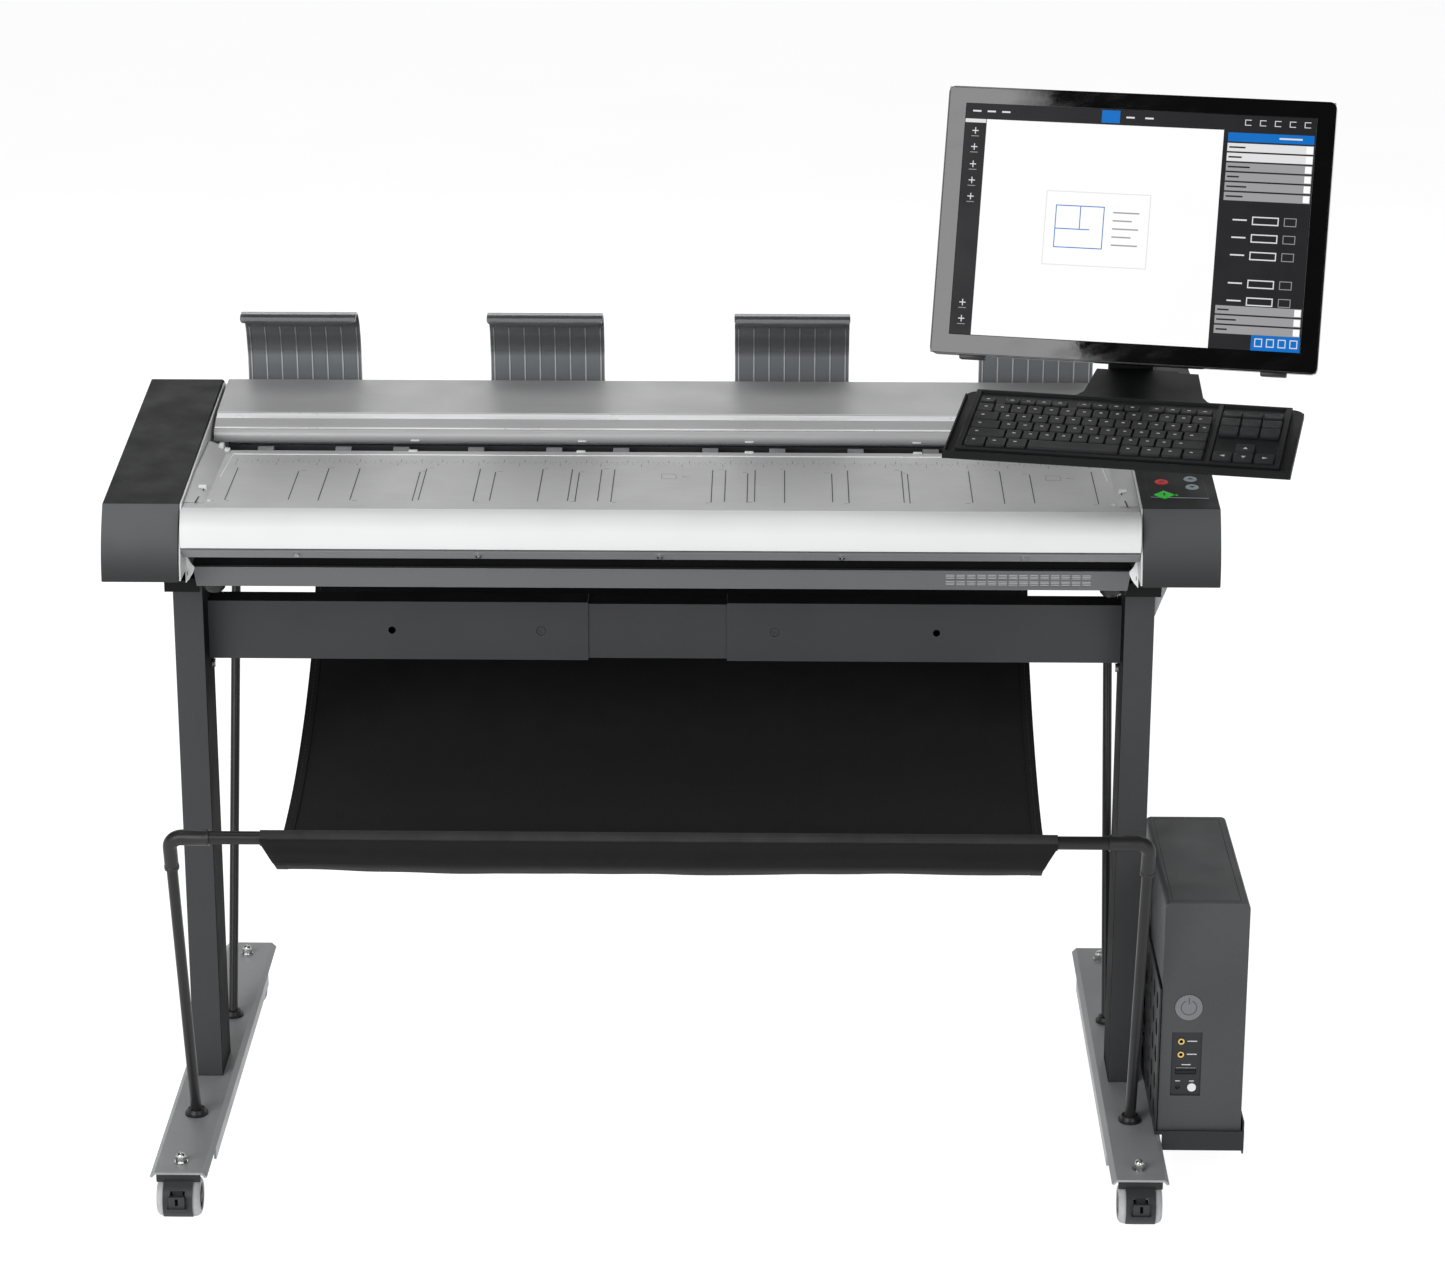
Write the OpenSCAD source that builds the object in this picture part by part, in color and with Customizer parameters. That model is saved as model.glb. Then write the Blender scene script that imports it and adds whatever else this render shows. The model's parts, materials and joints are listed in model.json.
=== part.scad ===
/* [Scanner] */
// Overall width across the end caps
scanner_w = 1331; // [1320:1:1342]
// Clear width between the two end caps
media_gap = 1146; // [1140:1:1150]
// Front edge of the paper table, above the floor
table_z = 850; // [849:0.5:851]
// Height of the scanner's underside above the floor
pan_z = 744; // [742:1:746]
// How far the lid's hinge sits behind the columns' front face
hinge_y = 312; // [308:1:314]
// Diameter of the driven rubber roller segments
roller_d = 22; // [18:1:23]

/* [Stand] */
// Distance between the centre lines of the two feet
stance_w = 1166; // [1160:1:1168]
// Length of each foot, front to rear
foot_len = 712; // [690:1:730]
// Width of each foot
foot_w = 70; // [66:1:72]
// Top of the feet above the floor
foot_top = 61; // [60:0.5:64]
// Width of a column, seen from the front
column_w = 37; // [34:1:40]
// Depth of a column, front to rear
column_d = 76; // [70:1:80]
// Underside of the crossbeam above the floor
beam_z = 613; // [600:1:620]
// Height of the crossbeam's sleeves
beam_h = 75; // [70:1:78]

/* [Basket] */
// Diameter of the basket rods
rod_d = 16; // [14:1:17]
// Width of the fabric
fabric_w = 948; // [900:1:960]
// Thickness of the fabric as a solid sheet
fabric_t = 3; // [2:0.5:4]

/* [Casters] */
// Diameter of a caster wheel
wheel_d = 50; // [46:1:50]
// Width over a caster's twin wheels
caster_w = 60; // [56:1:62]

/* [Monitor and keyboard] */
// Width of the monitor
monitor_w = 450; // [430:1:460]
// Height of the monitor
monitor_h = 314; // [290:1:320]
// How far the monitor and the tray turn towards the right-hand side
turn = 12; // [8:1:16]
// Backward tilt of the monitor
tilt = 20; // [12:1:24]
// Width of the keyboard tray
tray_w = 393; // [385:1:400]
// Depth of the keyboard tray
tray_d = 176; // [170:1:182]
// Slope of the keyboard tray
tray_tilt = 10; // [6:1:12]

/* [Computer] */
// Width of the computer's case
pc_w = 103; // [95:1:105]
// Height of the computer's case
pc_h = 302; // [280:1:310]
// Depth of the computer's case
pc_d = 290; // [270:1:300]

/* [Hidden] */
$fn = 48;

// Y is written from the columns' front face and moved once, in placed(),
// so that the origin lies on the floor between the centres of the two columns.
gap = 0.3;
fit = 0.05;

// scanner
cap_in = media_gap / 2;
cap_out = scanner_w / 2;
wall_in = cap_in - 2;
top_slope = 0.1036;
top_y = -98.5;
top_z = table_z + 4.5;
cap_bottom_z = pan_z + 22;
rear_y = 385;
cap_wall = 3;
table_rear_y = 133;
paper_z = table_z + 5;
roller_x = [-499, -402, -330, -236.5, -139, -55.5, 55.5, 139, 236.5, 330, 402, 499];
infeed_y = 146;
outfeed_y = 268;
roller_z = paper_z + 0.5 - roller_d / 2;
shaft_r = 5;
lid_half = cap_in - 7;
hinge_r = 12;
hinge_z = top_at(hinge_y) - hinge_r * sqrt(1 + top_slope * top_slope);
hinge_pin_r = 4;
belt_x = -cap_in - 28;
belt_w = 10;
pulley_r = 14;
motor_pulley_r = 8;
motor_y = 205;
motor_z = 795;
belt_t = 2;
screw_pitch = 216.3;
bevel_angle = 42.51;
vent_x0 = 342;
vent_pitch = 12.6;

// stand
foot_x = stance_w / 2;
foot_y0 = 79 - foot_len / 2;
foot_y1 = 79 + foot_len / 2;
foot_t = 3;
caster_yf = -248;
caster_yr = 395;
stem_r = 5.5;
saddle_h = 18;
column_top = pan_z - 6;
beam_y = 38;
beam_d = 37;
beam_wall = 2;
sleeve_gap = 0.25;
sleeve_left_end = -94;
sleeve_right_end = 78;
beam_hole_x = 337;
beam_hole_r = 4.5;
beam_bolt_x = [-152, 137];

// basket
rod_r = rod_d / 2;
upright_r = rod_r - 1.25;
rear_r = rod_r - 2;
front_foot_y = -111;
front_rod_y = -229;
front_rod_z = 479;
rear_foot_y = 190;
rear_rod_y = 392;
rear_rod_z = 640;
rear_rod_x = 576;
fabric_keys = [[-238, 474], [-236, 451], [-222, 438], [-200, 428], [-150, 416], [-100, 411],
    [-40, 413], [40, 424], [120, 444], [200, 473], [260, 502], [300, 526], [340, 560],
    [368, 595], [385, 634]];

// casters
wheel_r = wheel_d / 2;
caster_trail = 18;
axle_r = 4;
web_w = 12;
wheel_in = web_w / 2 + 3;
wheel_w = caster_w / 2 - wheel_in - 3;
pedal_pin = [-33, 31];
pedal_pin_r = 2;

// monitor arm
pole_x = 612;
pole_y = 425;
pole_r = 19;
pole_top = 962;
arm_z = 975;
monitor_c = [547, -110, 1196];
tray_c = [535, -250, 996];
shell_t = 34;
kb_w = 366;
kb_d = 158;

// computer
pc_x0 = 613.5;
pc_y0 = -150;
pc_z0 = 68;
pc_button = [pc_x0 + 33, pc_z0 + 164.5];
pc_reset = [pc_x0 + 40.5, pc_z0 + 56.5];

function top_at(y) = top_z + top_slope * (y - top_y);
function unit(v) = v / norm(v);
function arc(c, r, a0, a1, n) = [for (i = [0:n])
    let (a = a0 + (a1 - a0) * i / n) c + r * [cos(a), sin(a)]];
// a polygon drawn anticlockwise, with every edge moved inwards by t
function inset(p, t) = [for (i = [0:len(p) - 1])
    let (a = p[(i + len(p) - 1) % len(p)], b = p[i], c = p[(i + 1) % len(p)],
        u = unit(b - a), v = unit(c - b),
        m = [-u[1], u[0]], n = [-v[1], v[0]])
    b + (m + n) * t / (1 + m * n)];
// Catmull-Rom curve through the keys, s points to each span
function pick(p, i) = p[max(0, min(len(p) - 1, i))];
function smooth(p, s) = [for (i = [0:len(p) - 2], j = [0:s - 1])
    let (t = j / s, a = pick(p, i - 1), b = p[i], c = p[i + 1], d = pick(p, i + 2))
    0.5 * (2 * b + (c - a) * t + (2 * a - 5 * b + 4 * c - d) * t * t
        + (3 * b - a - 3 * c + d) * t * t * t)];
// one side of a strip of thickness t that follows an open line of points
function beside(p, t) = [for (i = [0:len(p) - 1])
    let (u = unit(pick(p, i + 1) - pick(p, i - 1))) p[i] + t * [-u[1], u[0]]];
function back(p) = [for (i = [len(p) - 1:-1:0]) p[i]];
function strip(p, t) = concat(beside(p, -t / 2), back(beside(p, t / 2)));

module placed() { translate([0, -column_d / 2, 0]) children(); }
// a Y,Z outline pushed along X
module along_x(points, x0, x1) {
    translate([x0, 0, 0]) rotate([90, 0, 90]) linear_extrude(x1 - x0) polygon(points);
}
// an X,Z outline pushed along Y
module along_y(points, y0, y1) {
    translate([0, y1, 0]) rotate([90, 0, 0]) linear_extrude(y1 - y0) polygon(points);
}
module box(lo, hi) { translate(lo) cube(hi - lo); }
module x_rod(x0, x1, y, z, r) {
    translate([x0, y, z]) rotate([0, 90, 0]) cylinder(h = x1 - x0, r = r);
}
module y_rod(y0, y1, x, z, r) {
    translate([x, y0, z]) rotate([-90, 0, 0]) cylinder(h = y1 - y0, r = r);
}
module rod(p, q, r) {
    v = q - p;
    translate(p) rotate([0, acos(v[2] / norm(v)), atan2(v[1], v[0])]) cylinder(h = norm(v), r = r);
}
module both_sides() { children(); mirror([1, 0, 0]) children(); }

// ---- stand ----
front_rod_low = [foot_x, front_foot_y, foot_top];
front_rod_high = [foot_x, front_rod_y, front_rod_z];
front_rod_dir = unit(front_rod_high - front_rod_low);
rear_rod_low = [rear_rod_x, rear_foot_y, foot_top];
rear_rod_high = [rear_rod_x, rear_rod_y, rear_rod_z];
rear_rod_dir = unit(rear_rod_high - rear_rod_low);
module front_rod_line(r, low) { rod(front_rod_low - low * front_rod_dir, front_rod_high, r); }
module rear_rod_line(r, low) { rod(rear_rod_low - low * rear_rod_dir, rear_rod_high, r); }

module foot() {
    h = foot_w / 2;
    bevel = 6;
    flange_z = foot_top - 22;
    web = [[-h, foot_top - bevel], [-h + bevel, foot_top], [h - bevel, foot_top], [h, foot_top - bevel],
        [h - foot_t, foot_top - bevel - 1], [h - bevel - 1, foot_top - foot_t],
        [-h + bevel + 1, foot_top - foot_t], [-h + foot_t, foot_top - bevel - 1]];
    difference() {
        union() {
            translate([foot_x, 0, 0]) along_y(web, foot_y0, foot_y1);
            for (s = [-1, 1])
                box([foot_x + s * (h - foot_t / 2) - foot_t / 2, caster_yf + 54, flange_z],
                    [foot_x + s * (h - foot_t / 2) + foot_t / 2, caster_yr - 54, foot_top - bevel]);
        }
        for (y = [caster_yf, caster_yr])
            translate([foot_x, y, foot_top - 10]) cylinder(h = 20, r = stem_r + fit);
        front_rod_line(upright_r + 1, 20);
        rear_rod_line(rear_r + 1, 20);
    }
}
module foot_left() { color("#85878a") placed() mirror([1, 0, 0]) foot(); }
module foot_right() { color("#85878a") placed() foot(); }

module column() {
    h = column_w / 2;
    difference() {
        box([foot_x - h, 0, foot_top], [foot_x + h, column_d, column_top]);
        box([foot_x - h + 2.5, 2.5, foot_top + 4], [foot_x + h - 2.5, column_d - 2.5, column_top + 1]);
    }
}
module column_left() { color("#3e3f41") placed() mirror([1, 0, 0]) column(); }
module column_right() { color("#3e3f41") placed() column(); }

module saddle() {
    x0 = foot_x - column_w / 2 - 3;
    x1 = foot_x + column_w / 2 + 3;
    difference() {
        box([x0, -45, pan_z - saddle_h], [x1, 150, pan_z]);
        box([x0 + 2.9, -42, pan_z - saddle_h - 1], [x1 - 2.9, 147, column_top]);
    }
}
module saddle_plates() { color("#2c2d2f") placed() both_sides() saddle(); }

module crossbeam_center() {
    z0 = beam_z + beam_wall + sleeve_gap;
    z1 = beam_z + beam_h - beam_wall - sleeve_gap;
    y0 = beam_y + beam_wall + sleeve_gap;
    y1 = beam_y + beam_d - beam_wall - sleeve_gap;
    color("#38393b") placed() difference() {
        box([-300, y0, z0], [300, y1, z1]);
        box([-301, y0 + 2, z0 + 2], [301, y1 - 2, z1 - 2]);
        for (x = beam_bolt_x) y_rod(y0 - 1, y0 + 3, x, beam_z + beam_h / 2, 3.1);
    }
}
module sleeve(x0, x1, bolt_x) {
    hole_x = x0 < 0 ? -beam_hole_x : beam_hole_x;
    difference() {
        box([x0, beam_y, beam_z], [x1, beam_y + beam_d, beam_z + beam_h]);
        box([x0 < 0 ? x0 + 4 : x0 - 1, beam_y + beam_wall, beam_z + beam_wall],
            [x0 < 0 ? x1 + 1 : x1 - 4, beam_y + beam_d - beam_wall, beam_z + beam_h - beam_wall]);
        y_rod(beam_y - 1, beam_y + beam_wall + 0.5, hole_x, beam_z + beam_h / 2, beam_hole_r);
        y_rod(beam_y - 1, beam_y + beam_wall + 0.5, bolt_x, beam_z + beam_h / 2, 5.5);
    }
}
module crossbeam_sleeve_left() {
    color("#404143") placed() sleeve(-foot_x + column_w / 2, sleeve_left_end, beam_bolt_x[0]);
}
module crossbeam_sleeve_right() {
    color("#404143") placed() sleeve(sleeve_right_end, foot_x - column_w / 2, beam_bolt_x[1]);
}

module acorn_nut() {
    cylinder(h = 2, r = 8.5);
    translate([0, 0, 2]) cylinder(h = 6, r = 7, $fn = 6);
    translate([0, 0, 8]) intersection() {
        sphere(r = 5.6);
        cylinder(h = 6, r = 6);
    }
}
module socket_screw(r, h) {
    difference() {
        rotate([90, 0, 0]) cylinder(h = h, r = r);
        translate([0, -h + 1.2, 0]) rotate([90, 0, 0]) cylinder(h = 3, r = r * 0.5, $fn = 6);
    }
}
module screws_and_nuts() {
    color("#b9bbbd") placed() {
        both_sides() for (y = [caster_yf, caster_yr]) translate([foot_x, y, foot_top]) acorn_nut();
        for (x = beam_bolt_x)
            translate([x, beam_y + beam_wall + sleeve_gap, beam_z + beam_h / 2]) socket_screw(5, 1.6);
        for (i = [-2:2]) translate([i * screw_pitch, -116.5, table_z - 52.5]) nose_screw();
        // screw feet under the scanner, for standing it on a table
        both_sides() translate([542, -48, pan_z]) {
            translate([0, 0, -14.5]) cylinder(h = 4, r1 = 9, r2 = 12.5);
            translate([0, 0, -10.5]) cylinder(h = 6, r = 12.5);
            translate([0, 0, -4.5]) cylinder(h = 4.5, r = 6);
        }
        // bolts that hold the crossbeam's ends to the columns
        both_sides() for (z = [beam_z - 13, beam_z + beam_h + 9])
            x_rod(foot_x - column_w / 2 - 4, foot_x - column_w / 2, 58, z, 5.5);
    }
}
module nose_screw() {
    // square to the bevel under the nose
    rotate([bevel_angle, 0, 0]) difference() {
        rotate([90, 0, 0]) cylinder(h = 2.2, r = 3.6);
        translate([0, -1.2, 0]) rotate([90, 0, 0]) cylinder(h = 3, r = 1.6, $fn = 6);
    }
}

module rod_grommets() {
    color("#1b1c1d") placed() both_sides() {
        difference() {
            translate(front_rod_low) grommet(upright_r);
            front_rod_line(upright_r + fit, 20);
        }
        difference() {
            translate(rear_rod_low) grommet(rear_r);
            rear_rod_line(rear_r + fit, 20);
        }
    }
}
module grommet(r) {
    cylinder(h = 3, r = r + 7.5);
    translate([0, 0, 3]) cylinder(h = 5, r1 = r + 6, r2 = r + 4);
}
module basket_rods_front() {
    color("#2b2c2e") placed() both_sides()
        rod(front_rod_low - 4 * front_rod_dir, front_rod_high - 12 * front_rod_dir, upright_r);
}
module basket_elbows() {
    color("#2f3032") placed() both_sides() difference() {
        union() {
            translate(front_rod_high) sphere(r = rod_r + 2.5);
            rod(front_rod_high - 46 * front_rod_dir, front_rod_high, upright_r + 2);
            x_rod(foot_x - 48, foot_x, front_rod_y, front_rod_z, rod_r + 2);
        }
        rod(front_rod_high - 50 * front_rod_dir, front_rod_high - 11 * front_rod_dir, upright_r + fit);
        x_rod(foot_x - 60, foot_x - 13, front_rod_y, front_rod_z, rod_r + fit);
    }
}
module basket_rod_cross() {
    color("#2b2c2e") placed() x_rod(-foot_x + 14, foot_x - 14, front_rod_y, front_rod_z, rod_r);
}
module basket_rod_rear() {
    color("#2b2c2e") placed() {
        both_sides() {
            rod(rear_rod_low - 4 * rear_rod_dir, rear_rod_high, rear_r);
            translate(rear_rod_high) sphere(r = rear_r + 1.5);
        }
        x_rod(-rear_rod_x, rear_rod_x, rear_rod_y, rear_rod_z, rear_r);
    }
}
module basket_fabric() {
    h = fabric_w / 2;
    line = smooth(fabric_keys, 3);
    color("#1d1d1e") placed() difference() {
        union() {
            along_x(strip(line, fabric_t), -h, h);
            x_rod(-h - 8, h + 8, front_rod_y, front_rod_z, rod_r + fabric_t);
            x_rod(-h, h, rear_rod_y, rear_rod_z, rear_r + fabric_t);
        }
        x_rod(-h - 9, h + 9, front_rod_y, front_rod_z, rod_r + fit);
        x_rod(-h - 1, h + 1, rear_rod_y, rear_rod_z, rear_r + fit);
    }
}

// ---- casters ----
// the wheels' axis lies in front of the stem on every caster
module at_caster(side, y) { placed() translate([side * foot_x, y, 0]) children(); }
module caster_hood(braked) {
    top = foot_top - foot_t - 1.5;
    cover_w = 18;
    tyre_gap = wheel_r + 0.8;
    difference() {
        union() {
            // central web, the cover over the inner half of both wheels, and the stem's boss
            intersection() {
                x_rod(-web_w / 2, web_w / 2, -caster_trail, wheel_r, wheel_r - 4);
                box([-10, -caster_trail - 22, 6], [10, 40, top]);
            }
            difference() {
                x_rod(-cover_w, cover_w, -caster_trail, wheel_r, tyre_gap + 2);
                box([-40, -80, -10], [40, 40, 7]);
                box([-40, -caster_trail, -10], [40, 40, 22]);
            }
            translate([0, 0, wheel_r]) cylinder(h = top - wheel_r, r = 9);
            cylinder_between(top - 8, foot_top - 0.5, stem_r);
        }
        x_rod(-20, 20, -caster_trail, wheel_r, axle_r + fit);
        both_sides() x_rod(web_w / 2, caster_w / 2, -caster_trail, wheel_r, tyre_gap);
        if (braked) {
            x_rod(-10, 10, pedal_pin[0], pedal_pin[1], pedal_pin_r + fit);
            box([-9.4, -60, 23], [9.4, -caster_trail - 19, 42]);
        }
    }
}
module cylinder_between(z0, z1, r) { translate([0, 0, z0]) cylinder(h = z1 - z0, r = r); }
module caster_wheels() {
    rim = 2.5;
    x_rod(-wheel_in - 1, wheel_in + 1, -caster_trail, wheel_r, axle_r);
    for (s = [-1, 1]) translate([0, -caster_trail, wheel_r]) rotate([0, s * 90, 0])
        translate([0, 0, wheel_in]) rotate_extrude() polygon([[0, 0], [wheel_r - rim, 0],
            [wheel_r, rim], [wheel_r, wheel_w - rim], [wheel_r - rim, wheel_w], [wheel_r - 7, wheel_w],
            [wheel_r - 9, wheel_w - 2], [7, wheel_w - 2], [6, wheel_w], [0, wheel_w]]);
}
module brake_pedal() {
    // a fork astride the hood's web, with a slotted plate and a foot bar in front of the cover
    y0 = -caster_trail - wheel_r;
    x_rod(-web_w / 2 - 2.5, web_w / 2 + 2.5, pedal_pin[0], pedal_pin[1], pedal_pin_r);
    for (s = [-1, 1]) {
        x_rod(s * 7.4 - 1.1, s * 7.4 + 1.1, pedal_pin[0], pedal_pin[1], 4);
        box([s * 7.4 - 1.1, y0 - 6, pedal_pin[1] - 3], [s * 7.4 + 1.1, pedal_pin[0], pedal_pin[1] + 3.5]);
    }
    difference() {
        union() {
            box([-9.5, y0 - 9, 20], [9.5, y0 - 5, 39]);
            box([-12, y0 - 12, 20], [12, y0 - 5, 24.5]);
        }
        box([-1.8, y0 - 13, 27.5], [1.8, y0 - 4, 36.5]);
    }
}
module caster_hood_fl() { color("#353638") at_caster(-1, caster_yf) caster_hood(true); }
module caster_hood_fr() { color("#353638") at_caster(1, caster_yf) caster_hood(true); }
module caster_hood_rl() { color("#353638") at_caster(-1, caster_yr) caster_hood(false); }
module caster_hood_rr() { color("#353638") at_caster(1, caster_yr) caster_hood(false); }
module caster_wheels_fl() { color("#b9bbbd") at_caster(-1, caster_yf) caster_wheels(); }
module caster_wheels_fr() { color("#b9bbbd") at_caster(1, caster_yf) caster_wheels(); }
module caster_wheels_rl() { color("#b9bbbd") at_caster(-1, caster_yr) caster_wheels(); }
module caster_wheels_rr() { color("#b9bbbd") at_caster(1, caster_yr) caster_wheels(); }
module brake_pedal_left() { color("#454648") at_caster(-1, caster_yf) brake_pedal(); }
module brake_pedal_right() { color("#454648") at_caster(1, caster_yf) brake_pedal(); }

// ---- scanner ----
module base_pan() {
    front_y = -75;
    top = cap_bottom_z + 2;
    top_w = cap_in - 9;
    bottom_w = top_w - 4;
    color("#7d8083") placed() {
        difference() {
            union() {
                box([-bottom_w, front_y + 2, pan_z], [bottom_w, rear_y - 4, pan_z + 2.5]);
                along_y([[-bottom_w, pan_z], [bottom_w, pan_z], [top_w, top], [-top_w, top]],
                    front_y, front_y + 2.5);
                box([-top_w, front_y, top - 2.5], [top_w, front_y + 14, top]);
                box([-bottom_w, rear_y - 6.5, pan_z], [bottom_w, rear_y - 4, pan_z + 40]);
            }
            for (i = [0:13], j = [0, 1])
                box([vent_x0 + i * vent_pitch, front_y - 1, pan_z + 5 + j * 8],
                    [vent_x0 + i * vent_pitch + 10.4, front_y + 3, pan_z + 11 + j * 8]);
        }
    }
}
module recess_panel() {
    color("#121314") placed() along_x([[-70, pan_z + 25], [-62, pan_z + 25], [-62, table_z - 12],
        [-70, table_z - 12]], -563, 563);
}
cover_y0 = hinge_y + hinge_r + 7.5;
cover_y1 = rear_y - 8;
cover_z0 = table_z + 34;
cover_z1 = table_z + 14;
// height of the rear cover's slope
function cover_z(y) = cover_z0 + (cover_z1 - cover_z0) * (y - cover_y0) / (cover_y1 - cover_y0);
module rear_cover() {
    skirt_z = pan_z + 42;
    outer = [[rear_y, skirt_z], [rear_y, cover_z1 - 12], [cover_y1, cover_z1], [cover_y0, cover_z0],
        [cover_y0 - 6, cover_z0], [cover_y0 - 6, cover_z0 - 10], [cover_y0, cover_z0 - 10],
        [cover_y1 - 4, cover_z1 - 6], [rear_y - 3, cover_z1 - 16], [rear_y - 3, skirt_z]];
    color("#77797c") placed() difference() {
        along_x(back(outer), -wall_in + 0.5, wall_in - 0.5);
        // paper outlet
        box([-530, rear_y - 16, paper_z - 6], [530, rear_y + 2, paper_z + 3]);
    }
}
module loading_table() {
    // the sheet's top face, its drop into the slot, and its return under the white nose
    t = 3;
    top = [[top_y, table_z], [top_y, table_z - t], [table_rear_y - 5, paper_z - t],
        [table_rear_y - 5, paper_z - 12], [table_rear_y - 2, paper_z - 12],
        [table_rear_y, paper_z - 2], [table_rear_y - 3, paper_z]];
    under = [[top_y + 4, table_z - t + 0.5], [top_y + 4, table_z - 42], [-119, table_z - 44],
        [-122, table_z - 46.5], [-111, table_z - 58.5], [-94, table_z - 58.5], [-94, table_z - 56],
        [-110, table_z - 56], [-117, table_z - 47], [top_y + 7, table_z - 44.5],
        [top_y + 7, table_z - t + 0.5]];
    color("#abadb0") placed() {
        along_x(top, -wall_in + 0.5, wall_in - 0.5);
        along_x(under, -wall_in + 0.5, wall_in - 0.5);
    }
}
module table_nose() {
    // a rolled white profile: flat top lip, swelling front, turned-in lower edge
    face = concat([[top_y - 0.3, table_z]], arc([top_y - 0.3, table_z - 27], 27, 100, 170, 9),
        [[-126, table_z - 34], [-123.5, table_z - 43.5]]);
    color("#ecedee") placed() along_x(concat(face, back(beside(face, 2.6))),
        -wall_in + 0.5, wall_in - 0.5);
}
// the plane of the paper table, with Y measured from its front edge and Z from its face
module on_table() {
    slope = (paper_z - table_z) / (table_rear_y - 3 - top_y);
    translate([0, top_y, table_z]) rotate([atan(slope), 0, 0]) children();
}
module side_ramps() {
    // a strip beside each wall, thin at the front and full height from the middle on
    ramp_w = 26;
    ramp_h = 8;
    y0 = 18;
    y1 = table_rear_y + 8 - top_y;
    color("#b4b6b8") placed() both_sides() on_table() difference() {
        along_y([[wall_in - ramp_w, 0.02], [wall_in - 0.5, 0.02], [wall_in - 0.5, ramp_h],
            [wall_in - 5, ramp_h]], y0, y1);
        translate([0, y0, 1]) rotate([4, 0, 0]) box([wall_in - 60, -40, 0], [wall_in + 20, 140, 60]);
    }
}

cap_outline = concat([[-62, pan_z], [rear_y - 6, pan_z], [rear_y, pan_z + 6], [rear_y, 850],
    [rear_y - 10, 866], [hinge_y + 6, top_at(hinge_y) - 2], [hinge_y, top_at(hinge_y)], [top_y, top_z]],
    [for (i = [1:7]) [cap_front(i / 8), top_z + (cap_bottom_z - top_z) * i / 8]],
    [[-131, cap_bottom_z], [-78, cap_bottom_z]]);
// the cap's front swells forwards on its way down
function cap_front(t) = top_y + (-131 - top_y) * (1 - (1 - t) * (1 - t));
module end_cap() {
    difference() {
        along_x(cap_outline, cap_in, cap_out);
        along_x(inset(cap_outline, cap_wall), cap_in - 1, cap_out - cap_wall);
    }
}
module end_cap_left() { color("#2f3032") placed() mirror([1, 0, 0]) end_cap(); }
stop_pos = [602, -16.5];
up_pos = [637.5, -7];
down_pos = [637.5, -32];
start_pos = [602, -56.5];
button_r = 8;
diamond_r = 12.5;
button_rise = 0.6;
button_stem = 6;
flange_t = 2.5;
// a frame on the cap's sloping top
module on_cap(p) {
    translate([p[0], p[1], top_at(p[1])]) rotate([atan(top_slope), 0, 0]) children();
}
module end_cap_right() {
    color("#2f3032") placed() difference() {
        end_cap();
        for (p = [stop_pos, up_pos, down_pos]) on_cap(p) cylinder_between(-8, 4, button_r + gap);
        on_cap(start_pos) diamond(diamond_r + gap, -8, 12);
    }
}
module diamond(r, z0, h) {
    translate([0, 0, z0]) linear_extrude(h) polygon([[-r, 0], [0, -r], [r, 0], [0, r]]);
}
module button(p) {
    on_cap(p) {
        cylinder_between(-button_stem, button_rise, button_r);
        button_flange(button_r + 2);
    }
}
// the flange behind the cap's wall that keeps a button in
module button_flange(r) { cylinder_between(-button_stem - 1.5, -button_stem - 1.5 + flange_t, r); }
module button_stop() { color("#d22b2b") placed() button(stop_pos); }
module button_up() { color("#8b98a1") placed() button(up_pos); }
module button_down() { color("#8b98a1") placed() button(down_pos); }
module button_start() {
    color("#1fc12b") placed() on_cap(start_pos) {
        diamond(diamond_r, -button_stem, button_stem + button_rise);
        button_flange(diamond_r + 1.5);
    }
}

module inner_side_walls() {
    outline = concat([[-62, pan_z + 3], [rear_y - 6, pan_z + 3], [rear_y - 3.5, pan_z + 8],
        [rear_y - 3.5, 849], [rear_y - 12, 862], [hinge_y, top_at(hinge_y) - 4], [top_y + 1, top_z - 1]],
        [for (i = [1:7]) [cap_front(i / 8) + 3, top_z + (cap_bottom_z - top_z) * i / 8]],
        [[-128, cap_bottom_z + 1], [-78, cap_bottom_z + 1]]);
    color("#e8e9ea") placed() both_sides() {
        difference() {
            along_x(outline, wall_in, cap_in);
            for (y = [infeed_y, outfeed_y]) x_rod(wall_in - 1, cap_in + 1, y, roller_z, shaft_r + fit);
        }
        x_rod(lid_half - 14, wall_in + 0.5, hinge_y, hinge_z, hinge_pin_r);
    }
}
lid_top = [[hinge_y, top_at(hinge_y)], [197.6, top_at(197.6)], [194, top_at(197.6) - 2.2], [185, 881.2],
    [168, 873.9], [165, 873.4]];
module lid() {
    outer = concat(lid_top, arc([171, 864], 10, 125, 235, 8), [[165, 857.6], [176, 857.6]]);
    inner = [[176, 861.5], [176, 872], [200, 881], [hinge_y - 4, 887], [hinge_y - 4, 874],
        [hinge_y + 1, 873.4]];
    color("#a6a8ab") placed() difference() {
        union() {
            along_x(back(concat(outer, inner)), -lid_half, lid_half);
            x_rod(-lid_half, lid_half, hinge_y, hinge_z, hinge_r);
            // end plates close the two ends of the lid
            both_sides() along_x(back(concat(outer, [[190, 859], [240, 862], [hinge_y - 2, 874]])),
                lid_half - 6, lid_half);
        }
        both_sides() x_rod(lid_half - 15, lid_half + 1, hinge_y, hinge_z, hinge_pin_r + fit);
    }
}
module pressure_plate() {
    color("#e2e3e4") placed() {
        box([-545, 180, 857.6], [545, 258, 860.6]);
        for (x = [-500:200:500]) {
            box([x - 12, 200, 860.6], [x + 12, 214, 881]);
        }
    }
}
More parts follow.
